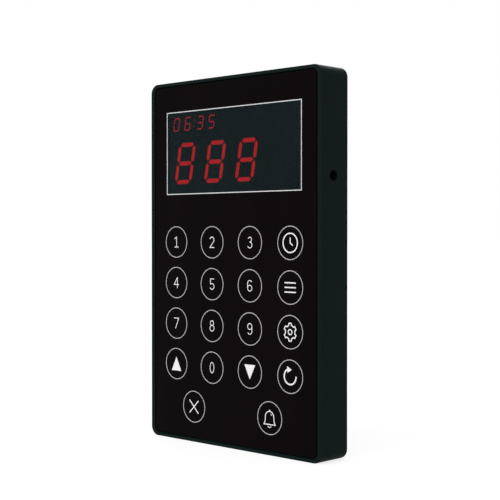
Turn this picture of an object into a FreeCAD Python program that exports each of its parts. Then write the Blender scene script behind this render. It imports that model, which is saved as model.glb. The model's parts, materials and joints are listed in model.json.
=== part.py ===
import FreeCAD, Part
import math
import os

# Call keypad: a slim upright case with a touch panel, a lit display and a radio transmitter inside.
# Millimetres. The front looks along -Y, +X is to the right and +Z is up.
# The origin is under the middle of the case, on the surface that it stands on.

# Keys, which are printed rings over touch pads
KEY_COLUMNS = 4
KEY_ROWS = 4
column_pitch = 25.73
row_pitch = 20.52
ring_radius = 7.71
ring_line = 0.38
pad_inset = 0.9
foot_margin = 17.55
key_side_margin = 11.2

# Display window
window_height = 41.2
window_above_keys = 24.1
window_inset = 0.9
window_line = 0.44
head_margin = 15.27

# Stack of layers, from the front face to the back face of the case
panel_recess = 0.15
panel_thickness = 1.2
tape_thickness = 0.3
ledge_thickness = 1.6
front_room = 8.05
board_thickness = 1.6
back_room = 3.8
cover_thickness = 2.0

# Case walls, rim and edges
wall = 2.4
rim_side = 2.4
rim_end = 1.65
corner_radius = 4.7
panel_corner = 2.6
front_edge = 0.25
back_edge = 0.5
panel_gap = 0.7
lens_gap = 0.05
cover_gap = 0.15

# Printed marks on the panel
print_thickness = 0.06
numeral_width = 3.25
numeral_height = 5.1
numeral_line = 0.38
numeral_low_bowl = 1.41
arrow_half_width = 3.52
arrow_half_height = 3.5
symbol_line = 0.54
clock_face_radius = 4.43
clock_face_line = 0.6
clock_hand_line = 0.54
menu_line = 0.57
menu_half_length = 3.45
menu_pitch = 2.15
gear_teeth = 6
gear_root = 3.25
gear_tip = 4.15
gear_width_share = 0.92
gear_line = 0.54
gear_hub = 1.15
repeat_radius = 3.62
repeat_line = 0.74
cross_half_width = 3.08
cross_half_height = 3.05
bell_line = 0.46
bell_dome_radius = 2.7
bell_lip_half_width = 3.62

# Display digits; half sizes are of the segments' centre lines
DIGITS = 4
LIT_DIGITS = 3
digit_half_width = 5.15
digit_half_height = 9.3
digit_line = 2.2
digit_pitch = 21.4
digit_row_centre = -1.35
digit_above_window_foot = 15.43
digit_slant = 10.0
segment_split = 0.48
clock_half_width = 1.85
clock_half_height = 3.08
clock_line = 0.66
clock_pitch = 8.1
clock_colon_room = 0.9
clock_centre = -27.1
clock_below_window_head = 6.0
clock_split = 0.07
colon_half_rise = 1.5
sign_half_height = 2.6
sound_sign_x = 9.0
battery_sign_x = 21.1
signal_sign_x = 31.3
clock_text = "06:35"
numeral_bars = {
    "0": "abcdef",
    "1": "bc",
    "2": "abdeg",
    "3": "abcdg",
    "4": "bcfg",
    "5": "acdfg",
    "6": "acdefg",
    "7": "abc",
    "8": "abcdefg",
    "9": "abcdfg",
}

# Display module
module_lap = 0.6
module_lens_gap = 0.1
module_base = 1.0
segment_depth = 3.0
segment_clearance = 0.02
bay_clearance = 0.4
display_pins_per_row = 14
display_pin_pitch = 5.08
display_pin_radius = 0.25
display_pin_edge = 1.6
display_pin_tail = 1.0
led_chip = 0.35

# Touch board
touch_border = 1.5
touch_board_thickness = 1.2
touch_chip_above_foot = 25.0
pad_thickness = 0.1
tape_inset = 0.5

# Main board and its fixings
board_side_gap = 0.5
board_skirt = 32.0
standoff_radius = 2.6
standoff_inset = 3.6
standoff_from_edge = 4.6
boss_radius = 3.2
boss_inset = 2.9
board_screw_radius = 0.85
board_screw_bite = 4.0
board_screw_head_radius = 1.9
board_screw_head = 1.4
cover_screw_radius = 1.1
cover_screw_bite = 6.0
cover_screw_head_radius = 2.4
cover_screw_head = 1.3
screw_clearance = 0.3
pilot_clearance = 0.05
pilot_spare = 1.0
head_clearance = 0.05
cross_slot = 0.6
cross_share = 0.6

# Power jack and switch, one in each side wall at the same height
port_drop = 50.0
jack_hole_radius = 2.5
jack_width = 6.4
jack_height = 5.6
jack_wall_gap = 0.1
jack_module_gap = 1.0
jack_inner_wall = 1.0
jack_socket_radius = 1.85
jack_pin_radius = 0.55
jack_shank_radius = 0.35
jack_pin_setback = 0.9
tab_thickness = 0.3
tab_width = 1.6
switch_length = 8.8
switch_height = 5.0
switch_width = 4.4
switch_wall_gap = 0.3
switch_shell = 0.5
switch_base_thickness = 0.9
switch_travel = 2.0
knob_length = 3.0
knob_thickness = 2.0
knob_setback = 0.3
knob_rib = 0.25
knob_rib_pitch = 0.75
carriage_length = 4.0
slide_clearance = 0.12
knob_clearance = 0.35
scoop_depth = 1.2
scoop_margin = 1.5

# Battery and its leads
battery_width = 50.0
battery_height = 60.0
battery_thickness = 6.0
battery_lift = 12.0
battery_edge = 1.5
foam_thickness = 0.5
battery_board_height = 3.5
battery_board_thickness = 1.0
battery_board_inset = 6.0
lead_radius = 0.65
lead_pitch = 2.5
lead_turns = (0.3, 0.57)
plug_width = 6.6
plug_height = 6.0
plug_thickness = 4.2
plug_insertion = 4.5
socket_wall = 0.8
socket_floor = 1.2
socket_place = 22.0

# Link between the two boards
link_pins = 8
link_pitch = 2.54
link_pin = 0.64
link_base = 2.5
link_place = -30.0
link_below_touch_top = 5.0
pin_hole_clearance = 0.12
pin_tail = 1.0

# Parts on the boards
chip_leg_thickness = 0.2
chip_leg_reach = 1.0
controller_side = 10.0
controller_height = 1.4
controller_legs = 11
controller_x = -8.2
driver_width = 5.3
driver_length = 10.0
driver_height = 1.6
driver_legs = 8
driver_x = 12.7
driver_gap = 6.0
touch_chip_side = 7.0
touch_chip_height = 0.9
touch_chip_legs = 8
radio_board_width = 18.0
radio_gap = 1.145
radio_board_thickness = 0.8
shield_inset = 1.5
shield_height = 1.8
shield_sheet = 0.2
coil_radius = 2.1
coil_wire_radius = 0.4
coil_pitch = 2.0
coil_turns = 7
coil_lift = 0.5
coil_gap = 1.2
crystal_length = 11.0
crystal_width = 4.6
crystal_height = 3.5
capacitor_radius = 3.15
capacitor_height = 5.4
capacitor_base = 0.9
capacitor_base_lap = 0.2
part_spacing = 2.0
buzzer_side = 12.0
buzzer_height = 2.8
buzzer_hole_radius = 1.2
buzzer_x = 28.65
resistor_rows = 2
resistor_columns = 8
resistor_length = 2.0
resistor_width = 1.25
resistor_height = 0.5
resistor_pitch = 4.0
resistor_row_pitch = 3.75
resistors_x = -14.3
regulator_width = 6.5
regulator_height = 3.5
regulator_thickness = 1.6

# Rear cover
foot_radius = 5.0
foot_seat = 0.8
foot_proud = 0.8
foot_side_inset = 13.3
foot_end_inset = 16.0
foot_gap = 0.1
keyhole_spacing = 60.0
keyhole_drop = 30.0
keyhole_radius = 4.0
keyhole_slot = 4.0
keyhole_rise = 8.0
sound_hole_radius = 0.75
sound_ring_radius = 3.2
sound_holes = 6
label_width = 56.0
label_height = 30.0
label_depth = 0.3
label_radius = 2.0
label_place = 78.0
rib_height = 3.0
rib_thickness = 1.2
rib_gap = 0.4
thumb_slot_width = 14.0
thumb_slot_height = 1.2

# Reach of a cut past the wall that it goes through, and nearness at which two places count as one
cut_spare = 1.0
same_place = 1e-6

# Outline of the case, which follows from the keys, the window and the layers
key_block_width = (KEY_COLUMNS - 1) * column_pitch + 2 * ring_radius
body_width = key_block_width + 2 * key_side_margin
window_width = key_block_width - 2 * window_inset
top_key_row = foot_margin + KEY_ROWS * row_pitch
window_foot = top_key_row + window_above_keys
window_head = window_foot + window_height
window_middle = (window_foot + window_head) / 2
body_height = window_head + head_margin
body_middle = body_height / 2
panel_back = panel_recess + panel_thickness
ledge_front = panel_back + tape_thickness
ledge_back = ledge_front + ledge_thickness
board_front = ledge_back + front_room
board_back = board_front + board_thickness
cover_front = board_back + back_room
body_depth = cover_front + cover_thickness
front_y = -(body_depth + foot_proud) / 2

# Places inside the case
inner_half_width = body_width / 2 - wall
inner_top = body_height - wall
panel_width = body_width - 2 * (rim_side + panel_gap)
panel_height = body_height - 2 * (rim_end + panel_gap)
module_width = window_width + 2 * module_lap
module_height = window_height + 2 * module_lap
module_front = panel_back + module_lens_gap
module_floor = board_front - module_base
touch_width = key_block_width + 2 * touch_border
touch_foot = foot_margin - ring_radius - touch_border
touch_top = top_key_row + ring_radius + touch_border
touch_height = touch_top - touch_foot
touch_middle = (touch_top + touch_foot) / 2
touch_back = ledge_front + touch_board_thickness
boss_x = inner_half_width - boss_inset
boss_low = wall + boss_inset
boss_high = inner_top - boss_inset
board_half_width = inner_half_width - board_side_gap
board_foot = window_foot - board_skirt
board_top = boss_high - boss_radius - board_side_gap
standoff_x = inner_half_width - standoff_inset
standoff_rows = (board_foot + standoff_from_edge, board_top - standoff_from_edge)
port_z = body_height - port_drop
jack_length = inner_half_width - jack_wall_gap - module_width / 2 - jack_module_gap
jack_socket_depth = jack_length - jack_inner_wall
port_depth = board_front - jack_height / 2
link_z = touch_top - link_below_touch_top
battery_top = battery_lift + battery_height
battery_back = cover_front - foam_thickness
battery_front = battery_back - battery_thickness
digit_middle = window_foot + digit_above_window_foot
clock_middle = window_head - clock_below_window_head
under_window = (board_foot + window_foot) / 2
radio_z = (touch_top + window_middle - module_height / 2) / 2
radio_board_height = window_middle - module_height / 2 - touch_top - 2 * radio_gap
touch_chip_z = touch_foot + touch_chip_above_foot


def y_at(depth):
    """Y of a plane that lies this far behind the front face."""
    return front_y + depth


def point(x, depth, z):
    return FreeCAD.Vector(x, y_at(depth), z)


def block(x_range, depth_range, z_range):
    """Box between two values on each axis, the middle pair being depths behind the front face."""
    low = point(x_range[0], depth_range[0], z_range[0])
    return Part.makeBox(
        x_range[1] - x_range[0],
        depth_range[1] - depth_range[0],
        z_range[1] - z_range[0],
        low,
    )


def about(middle, size):
    """Range of a size about its middle."""
    return (middle - size / 2, middle + size / 2)


def disc(x, z, radius, depths):
    """Round piece whose axis runs front to back."""
    return Part.makeCylinder(
        radius, depths[1] - depths[0], point(x, depths[0], z), FreeCAD.Vector(0, 1, 0)
    )


def cone(x, z, front_radius, back_radius, depths):
    return Part.makeCone(
        front_radius,
        back_radius,
        depths[1] - depths[0],
        point(x, depths[0], z),
        FreeCAD.Vector(0, 1, 0),
    )


def rod(x_range, depth, z, radius):
    """Round piece whose axis runs along X."""
    return Part.makeCylinder(
        radius, x_range[1] - x_range[0], point(x_range[0], depth, z), FreeCAD.Vector(1, 0, 0)
    )


def ring(x, z, radius, line, depths):
    """Flat ring of one line width about its centre line."""
    outer = disc(x, z, radius + line / 2, depths)
    return outer.cut(disc(x, z, radius - line / 2, depths))


def prism(corners, depths):
    """Solid with a straight-sided outline, given as (x, z) corners."""
    loop = [point(x, depths[0], z) for x, z in corners]
    face = Part.Face(Part.makePolygon(loop + loop[:1]))
    return face.extrude(FreeCAD.Vector(0, depths[1] - depths[0], 0))


def slab(x, z, width, height, radius, depths):
    """Plate with rounded corners, seen from the front."""
    plate = block(about(x, width), depths, about(z, height))
    upright = [e for e in plate.Edges if runs_along_y(e)]
    return plate.makeFillet(radius, upright)


def same(first, second):
    return abs(first - second) < same_place


def runs_along_y(edge):
    span = edge.Vertexes[-1].Point.sub(edge.Vertexes[0].Point)
    return same(abs(span.x) + abs(span.z), 0) and not same(span.y, 0)


def edges_at_depth(shape, depth):
    """Edges of a shape that lie in one plane behind the front face."""
    y = y_at(depth)
    return [e for e in shape.Edges if same(e.BoundBox.YMin, y) and same(e.BoundBox.YMax, y)]


def edges_at_x(shape, x):
    return [e for e in shape.Edges if same(e.BoundBox.XMin, x) and same(e.BoundBox.XMax, x)]


def fused(shapes):
    """One clean solid from touching pieces."""
    first = shapes[0]
    if len(shapes) > 1:
        first = first.fuse(shapes[1:])
    return first.removeSplitter()


def cut_all(shape, tools):
    return shape.cut(Part.makeCompound(tools))


def mirrored_x(values):
    """Each place on both sides of the middle."""
    return [(side * x, z) for x, z in values for side in (-1, 1)]


# Places of the pieces that repeat
key_columns = [(n - (KEY_COLUMNS - 1) / 2) * column_pitch for n in range(KEY_COLUMNS)]
key_rows = [top_key_row - n * row_pitch for n in range(KEY_ROWS)]
grid_keys = [(x, z) for z in key_rows for x in key_columns]
cross_key = (-column_pitch, foot_margin)
bell_key = (column_pitch, foot_margin)
all_keys = grid_keys + [cross_key, bell_key]
boss_places = mirrored_x([(boss_x, boss_low), (boss_x, boss_high)])
standoff_places = mirrored_x([(standoff_x, z) for z in standoff_rows])
foot_places = mirrored_x(
    [
        (body_width / 2 - foot_side_inset, foot_end_inset),
        (body_width / 2 - foot_side_inset, body_height - foot_end_inset),
    ]
)
digit_places = [digit_row_centre + (n - (DIGITS - 1) / 2) * digit_pitch for n in range(DIGITS)]
clock_inner = (clock_pitch + clock_colon_room) / 2
clock_places = [
    clock_centre - clock_inner - clock_pitch,
    clock_centre - clock_inner,
    clock_centre + clock_inner,
    clock_centre + clock_inner + clock_pitch,
]


# Case

def housing():
    """Front shell: side walls, rim round the panel, ledge behind it, bosses and standoffs."""
    outer = slab(0, body_middle, body_width, body_height, corner_radius, (0, body_depth))
    outer = outer.makeFillet(front_edge, edges_at_depth(outer, 0))
    outer = outer.makeFillet(back_edge, edges_at_depth(outer, body_depth))
    pocket = slab(
        0,
        body_middle,
        body_width - 2 * rim_side,
        body_height - 2 * rim_end,
        panel_corner + panel_gap,
        (0, ledge_front),
    )
    hollow = slab(
        0,
        body_middle,
        2 * inner_half_width,
        body_height - 2 * wall,
        corner_radius - wall,
        (ledge_back, body_depth),
    )
    bays = [bay(0, ledge_front, ledge_back), bay(1, ledge_front, ledge_back)]
    shell = cut_all(outer, [pocket, hollow] + bays)
    posts = [disc(x, z, boss_radius, (ledge_back, cover_front)) for x, z in boss_places]
    posts += [disc(x, z, standoff_radius, (ledge_back, board_front)) for x, z in standoff_places]
    shell = shell.fuse(posts)
    trim = outer.common(shell)
    return cut_all(trim, pilot_holes() + [jack_opening()] + switch_opening()).removeSplitter()


def bay(number, front, back, extra=0.0):
    """Opening in the ledge: 0 for the display module, 1 for the touch board."""
    room = 2 * (bay_clearance + extra)
    if number == 0:
        size = (module_width + room, module_height + room)
        middle = window_middle
    else:
        size = (touch_width + room, touch_height + room)
        middle = touch_middle
    return block(about(0, size[0]), (front, back), about(middle, size[1]))


def pilot_holes():
    """Blind holes that the screws cut into."""
    cover_pilot = cover_screw_radius + pilot_clearance
    board_pilot = board_screw_radius + pilot_clearance
    cover_depths = (cover_front - cover_screw_bite - pilot_spare, cover_front)
    board_depths = (board_front - board_screw_bite - pilot_spare, board_front)
    holes = [disc(x, z, cover_pilot, cover_depths) for x, z in boss_places]
    return holes + [disc(x, z, board_pilot, board_depths) for x, z in standoff_places]


def jack_opening():
    """Round hole in the right wall for the power plug."""
    through = (inner_half_width - cut_spare, body_width / 2 + cut_spare)
    return rod(through, port_depth, port_z, jack_hole_radius)


def switch_opening():
    """Slot in the left wall for the switch knob, in a shallow scoop for the fingertip."""
    slot_length = knob_length + switch_travel + 2 * knob_clearance
    slot_height = knob_thickness + 2 * knob_clearance
    outside = -body_width / 2 - cut_spare
    slot = block(
        (outside, -inner_half_width + cut_spare),
        about(port_depth, slot_height),
        about(port_z, slot_length),
    )
    scoop_x = -body_width / 2 + scoop_depth
    scoop = block(
        (outside, scoop_x),
        about(port_depth, slot_height + 2 * scoop_margin),
        about(port_z, slot_length + 2 * scoop_margin),
    )
    return [slot, scoop.makeChamfer(scoop_depth / 2, edges_at_x(scoop, scoop_x))]


def rear_cover():
    """Plate that closes the back, with keyholes, foot seats, sound holes and battery ribs."""
    gap = 2 * cover_gap
    plate = slab(
        0,
        body_middle,
        2 * inner_half_width - gap,
        body_height - 2 * wall - gap,
        corner_radius - wall - cover_gap,
        (cover_front, body_depth),
    )
    rib_x = battery_width / 2 + rib_gap + rib_thickness / 2
    ribs = [
        block(
            about(side * rib_x, rib_thickness),
            (cover_front - rib_height, cover_front),
            (battery_lift, battery_top),
        )
        for side in (-1, 1)
    ]
    plate = fused([plate] + ribs)
    tools = [countersink(x, z) for x, z in boss_places]
    seat_depths = (body_depth - foot_seat, body_depth)
    tools += [disc(x, z, foot_radius + foot_gap, seat_depths) for x, z in foot_places]
    tools += [keyhole(side * keyhole_spacing / 2) for side in (-1, 1)]
    tools += sound_hole_tools()
    label_depths = (body_depth - label_depth, body_depth)
    tools.append(slab(0, label_place, label_width, label_height, label_radius, label_depths))
    tools.append(
        block(
            about(0, thumb_slot_width),
            (cover_front + cover_thickness / 2, body_depth),
            (wall, wall + thumb_slot_height),
        )
    )
    return cut_all(plate, tools)


def countersink(x, z):
    """Clearance hole and conical seat for one cover screw."""
    hole = disc(x, z, cover_screw_radius + screw_clearance, (cover_front, body_depth))
    seat = cone(
        x,
        z,
        cover_screw_radius + head_clearance,
        cover_screw_head_radius + head_clearance,
        (body_depth - cover_screw_head, body_depth),
    )
    return hole.fuse(seat)


def keyhole(x):
    """Entry hole for a wall screw's head, with a slot above it for the shank."""
    z = body_height - keyhole_drop
    depths = (cover_front, body_depth)
    entry = disc(x, z, keyhole_radius, depths)
    slot = block(about(x, keyhole_slot), depths, (z, z + keyhole_rise))
    end = disc(x, z + keyhole_rise, keyhole_slot / 2, depths)
    return fused([entry, slot, end])


def sound_hole_tools():
    """Small holes in the cover behind the buzzer: one in the middle and a ring round it."""
    places = [(buzzer_x, under_window)]
    for n in range(sound_holes):
        turn = 2 * math.pi * n / sound_holes
        x = buzzer_x + sound_ring_radius * math.cos(turn)
        places.append((x, under_window + sound_ring_radius * math.sin(turn)))
    return [disc(x, z, sound_hole_radius, (cover_front, body_depth)) for x, z in places]


def cross_recess(x, z, radius, face_depth, depth):
    """Cross-shaped drive recess in a screw head."""
    depths = (face_depth - depth, face_depth)
    length = 2 * cross_share * radius
    across = block(about(x, length), depths, about(z, cross_slot))
    upright = block(about(x, cross_slot), depths, about(z, length))
    return across.fuse(upright)


def cover_screws():
    """Countersunk screws that hold the rear cover on the corner bosses."""
    screws = []
    for x, z in boss_places:
        shank = disc(x, z, cover_screw_radius, (cover_front - cover_screw_bite, body_depth))
        head = cone(
            x, z, cover_screw_radius, cover_screw_head_radius, (body_depth - cover_screw_head, body_depth)
        )
        recess = cross_recess(x, z, cover_screw_head_radius, body_depth, cover_screw_head / 2)
        screws.append(fused([shank, head]).cut(recess))
    return screws


def board_screws():
    """Pan-head screws that hold the main board on its standoffs."""
    screws = []
    for x, z in standoff_places:
        shank = disc(x, z, board_screw_radius, (board_front - board_screw_bite, board_back))
        head_back = board_back + board_screw_head
        head = disc(x, z, board_screw_head_radius, (board_back, head_back))
        recess = cross_recess(x, z, board_screw_head_radius, head_back, board_screw_head / 2)
        screws.append(fused([shank, head]).cut(recess))
    return screws


def rubber_feet():
    """Round pads in seats on the rear cover, a little proud of it."""
    depths = (body_depth - foot_seat, body_depth + foot_proud)
    feet = []
    for x, z in foot_places:
        foot = disc(x, z, foot_radius, depths)
        feet.append(foot.makeChamfer(foot_proud / 2, edges_at_depth(foot, depths[1])[:1]))
    return feet


# Front panel and its print

def window_plate(shrink, depths):
    return block(
        about(0, window_width - 2 * shrink), depths, about(window_middle, window_height - 2 * shrink)
    )


def front_panel():
    """Black panel with a rectangular opening for the display window."""
    depths = (panel_recess, panel_back)
    plate = slab(0, body_middle, panel_width, panel_height, panel_corner, depths)
    return plate.cut(window_plate(0, depths))


def display_window():
    """Smoked lens, flush in the opening of the panel."""
    return window_plate(lens_gap, (panel_recess, panel_back))


def print_depths():
    return (panel_recess - print_thickness, panel_recess)


def window_frame_line():
    """Printed line over the seam between the panel and the window."""
    half = window_line / 2
    return window_plate(-half, print_depths()).cut(window_plate(half, print_depths()))


def key_rings():
    return [ring(x, z, ring_radius, ring_line, print_depths()) for x, z in all_keys]


def printed(edges):
    """Ink of one closed outline."""
    return Part.Face(Part.Wire(edges)).extrude(FreeCAD.Vector(0, print_thickness, 0))


def stroke(start, end, line):
    """Printed line with round ends from one (x, z) point to another."""
    (x0, z0), (x1, z1) = start, end
    length = math.hypot(x1 - x0, z1 - z0)
    across_x, across_z = (z0 - z1) / length * line / 2, (x1 - x0) / length * line / 2
    depth = print_depths()[0]
    left = [point(x + across_x, depth, z + across_z) for x, z in (start, end)]
    right = [point(x - across_x, depth, z - across_z) for x, z in (start, end)]
    first_tip = point(x0 - across_z, depth, z0 + across_x)
    last_tip = point(x1 + across_z, depth, z1 - across_x)
    return printed(
        [
            Part.makeLine(right[0], right[1]),
            Part.Arc(right[1], last_tip, left[1]).toShape(),
            Part.makeLine(left[1], left[0]),
            Part.Arc(left[0], first_tip, right[0]).toShape(),
        ]
    )


def arc_stroke(centre, radius, first, last, line):
    """Printed arc with round ends, from one angle to another in degrees, anticlockwise."""
    depth = print_depths()[0]
    start, middle, end = [math.radians(angle) for angle in (first, (first + last) / 2, last)]

    def on_arc(reach, angle, onwards=0.0):
        x = centre[0] + reach * math.cos(angle) - onwards * math.sin(angle)
        return point(x, depth, centre[1] + reach * math.sin(angle) + onwards * math.cos(angle))

    outer, inner = radius + line / 2, radius - line / 2
    return printed(
        [
            Part.Arc(on_arc(outer, start), on_arc(outer, middle), on_arc(outer, end)).toShape(),
            Part.Arc(on_arc(outer, end), on_arc(radius, end, line / 2), on_arc(inner, end)).toShape(),
            Part.Arc(on_arc(inner, end), on_arc(inner, middle), on_arc(inner, start)).toShape(),
            Part.Arc(on_arc(inner, start), on_arc(radius, start, -line / 2), on_arc(outer, start)).toShape(),
        ]
    )


def oval_ring(x, z, half_width, half_height, line):
    """Printed oval of one line width, upright."""
    shapes = []
    for grow in (line / 2, -line / 2):
        middle = point(x, print_depths()[0], z)
        tall = point(x, print_depths()[0], z + half_height + grow)
        wide = point(x + half_width + grow, print_depths()[0], z)
        shapes.append(printed(Part.Ellipse(tall, wide, middle).toShape()))
    return shapes[0].cut(shapes[1])


def numeral(text, x, z):
    """Plain numeral with its middle at (x, z), drawn with strokes of one width.
    Points are given as shares of its half width and half height."""
    half_w, half_h = numeral_width / 2, numeral_height / 2
    low = numeral_low_bowl
    high = half_h - low

    def at(across, up):
        return (x + across * half_w, z + up * half_h)

    def lines(*points):
        return [stroke(at(*a), at(*b), numeral_line) for a, b in zip(points, points[1:])]

    def bowl(rise, radius, first, last):
        return [arc_stroke((x, z + rise), radius, first, last, numeral_line)]

    def hoop(rise, radius):
        return [ring(x, z + rise, radius, numeral_line, print_depths())]

    def upright(side):
        reach = half_h - low
        return [stroke((x + side * low, z - reach), (x + side * low, z + reach), numeral_line)]

    shapes = {
        "0": lambda: [oval_ring(x, z, 0.82 * half_w, half_h, numeral_line)],
        "1": lambda: lines((-0.75, 0.66), (0.08, 1), (0.08, -1)) + lines((-0.72, -1), (0.88, -1)),
        "2": lambda: bowl(half_h - low, low, -35, 160) + lines((0.7, 0.15), (-0.88, -1), (0.88, -1)),
        "3": lambda: bowl(half_h - high, high, -90, 150) + bowl(low - half_h, low, -150, 90),
        "4": lambda: lines((0.45, -1), (0.45, 1), (-1.05, -0.38), (1.05, -0.38)),
        "5": lambda: lines((0.8, 1), (-0.6, 1), (-0.66, 0.05)) + bowl(low - half_h, low, -150, 130),
        "6": lambda: hoop(low - half_h, low) + upright(-1) + bowl(half_h - low, low, 35, 180),
        "7": lambda: lines((-1, 1), (1, 1), (-0.42, -1)),
        "8": lambda: hoop(low - half_h, low) + hoop(half_h - high, high),
        "9": lambda: hoop(half_h - low, low) + upright(1) + bowl(low - half_h, low, -145, 0),
    }
    return fused(shapes[text]())


def key_numerals():
    """Numerals 1 to 9 in the first three columns, with 0 below the 8."""
    marks = []
    for row in range(3):
        for column in range(3):
            text = str(1 + 3 * row + column)
            marks.append(numeral(text, key_columns[column], key_rows[row]))
    marks.append(numeral("0", key_columns[1], key_rows[3]))
    return marks


def key_arrows():
    """Filled triangles on the keys left and right of the 0: up on the left, down on the right."""
    marks = []
    for column, way in ((0, 1), (2, -1)):
        x, z = key_columns[column], key_rows[3]
        rise = way * arrow_half_height
        corners = [(x - arrow_half_width, z - rise), (x + arrow_half_width, z - rise), (x, z + rise)]
        marks.append(prism(corners, print_depths()))
    return marks


def clock_mark(x, z):
    """Clock face with two hands."""
    face = ring(x, z, clock_face_radius, clock_face_line, print_depths())
    long_hand = stroke((x, z + clock_face_radius / 2), (x, z), clock_hand_line)
    tip = (x + 0.33 * clock_face_radius, z - 0.25 * clock_face_radius)
    short_hand = stroke((x, z), tip, clock_hand_line)
    return [face, fused([long_hand, short_hand])]


def menu_mark(x, z):
    """Three short bars with square ends."""
    across = about(x, 2 * menu_half_length)
    return [
        block(across, print_depths(), about(z + rise, menu_line)) for rise in (-menu_pitch, 0, menu_pitch)
    ]


def gear_mark(x, z):
    """Toothed wheel in outline, with a small hub ring."""
    step = 360 / gear_teeth
    foot_turn, tip_turn = 0.28 * step, 0.19 * step
    flanks = ((-foot_turn, gear_root), (-tip_turn, gear_tip), (tip_turn, gear_tip), (foot_turn, gear_root))
    corners = []
    for tooth in range(gear_teeth):
        for turn, reach in flanks:
            angle = math.radians(90 + step * tooth + turn)
            corners.append((x + gear_width_share * reach * math.cos(angle), z + reach * math.sin(angle)))
    rim = fused([stroke(a, b, gear_line) for a, b in zip(corners, corners[1:] + corners[:1])])
    return [rim, ring(x, z, gear_hub, gear_line, print_depths())]


def repeat_mark(x, z):
    """Open circle with an arrowhead at its top."""
    sweep = arc_stroke((x, z), repeat_radius, 118, 360, repeat_line)
    top = z + repeat_radius
    head = prism([(x - 1.86, top + 1.16), (x + 1.0, top - 0.4), (x - 1.62, top - 1.92)], print_depths())
    return [fused([sweep, head])]


def cross_mark(x, z):
    diagonals = [
        stroke(
            (x - cross_half_width, z - way * cross_half_height),
            (x + cross_half_width, z + way * cross_half_height),
            symbol_line,
        )
        for way in (-1, 1)
    ]
    return [fused(diagonals)]


def bell_mark(x, z):
    """Bell in outline: knob, dome, flared sides, lip, clapper and a short gleam."""
    dome_z, waist_z, lip_z = z + 0.5, z - 1.6, z - 3.0
    waist = bell_dome_radius + 0.15
    parts = [arc_stroke((x, dome_z), bell_dome_radius, 0, 180, bell_line)]
    for side in (-1, 1):
        shoulder = (x + side * bell_dome_radius, dome_z)
        middle = (x + side * waist, waist_z)
        corner = (x + side * bell_lip_half_width, lip_z)
        parts += [stroke(shoulder, middle, bell_line), stroke(middle, corner, bell_line)]
    parts.append(stroke((x - bell_lip_half_width, lip_z), (x + bell_lip_half_width, lip_z), bell_line))
    parts.append(disc(x, dome_z + bell_dome_radius + bell_line / 2, bell_line, print_depths()))
    clapper = arc_stroke((x, lip_z), 0.5 * bell_dome_radius, 225, 315, 0.8 * bell_line)
    gleam = arc_stroke((x, dome_z), 0.6 * bell_dome_radius, 30, 70, 0.5 * bell_line)
    return [fused(parts), clapper, gleam]


def key_symbols():
    """Marks of the right-hand column and of the lowest row."""
    right = key_columns[-1]
    marks = clock_mark(right, key_rows[0]) + menu_mark(right, key_rows[1])
    marks += gear_mark(right, key_rows[2]) + repeat_mark(right, key_rows[3])
    return marks + cross_mark(*cross_key) + bell_mark(*bell_key)


def panel_tape():
    """Adhesive frame between the panel and the ledge of the housing."""
    depths = (panel_back, ledge_front)
    sheet = slab(
        0,
        body_middle,
        panel_width - 2 * tape_inset,
        panel_height - 2 * tape_inset,
        panel_corner,
        depths,
    )
    return cut_all(sheet, [bay(0, *depths, extra=tape_inset), bay(1, *depths, extra=tape_inset)])


# Display

def segment_corners(start, end, line, split):
    """Bar with pointed ends from one (x, z) point to another, cut short by split at each end."""
    (x0, z0), (x1, z1) = start, end
    length = math.hypot(x1 - x0, z1 - z0)
    along = ((x1 - x0) / length, (z1 - z0) / length)
    across = (-along[1], along[0])
    half = line / 2

    def corner(base, forward, side):
        return (
            base[0] + along[0] * forward + across[0] * side,
            base[1] + along[1] * forward + across[1] * side,
        )

    return [
        corner(start, split, 0),
        corner(start, split + half, -half),
        corner(end, -split - half, -half),
        corner(end, -split, 0),
        corner(end, -split - half, half),
        corner(start, split + half, half),
    ]


def digit_segments(x, z, half_size, line, split):
    """Seven bars of one slanted digit, named a to g from the top bar clockwise, g in the middle."""
    left, right = x - half_size[0], x + half_size[0]
    top, low = z + half_size[1], z - half_size[1]
    bars = {
        "a": ((left, top), (right, top)),
        "b": ((right, top), (right, z)),
        "c": ((right, z), (right, low)),
        "d": ((left, low), (right, low)),
        "e": ((left, z), (left, low)),
        "f": ((left, top), (left, z)),
        "g": ((left, z), (right, z)),
    }
    lean = math.tan(math.radians(digit_slant))
    segments = {}
    for name, (start, end) in bars.items():
        corners = segment_corners(start, end, line, split)
        segments[name] = [(cx + (cz - z) * lean, cz) for cx, cz in corners]
    return segments


def display_bars():
    """Outlines of all bars of the display, as three lists: lit digits, lit clock and unlit."""
    lit, clock, unlit = [], [], []
    for n, x in enumerate(digit_places):
        half_size = (digit_half_width, digit_half_height)
        bars = digit_segments(x, digit_middle, half_size, digit_line, segment_split)
        (lit if n < LIT_DIGITS else unlit).extend(bars.values())
    for x, text in zip(clock_places, clock_text.replace(":", "")):
        half_size = (clock_half_width, clock_half_height)
        bars = digit_segments(x, clock_middle, half_size, clock_line, clock_split)
        for name, corners in bars.items():
            (clock if name in numeral_bars[text] else unlit).append(corners)
    lean = math.tan(math.radians(digit_slant))
    for rise in (-colon_half_rise, colon_half_rise):
        left, right = about(clock_centre + rise * lean, clock_line)
        low, top = about(clock_middle + rise, clock_line)
        clock.append([(left, low), (right, low), (right, top), (left, top)])
    return lit, clock, unlit


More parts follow.
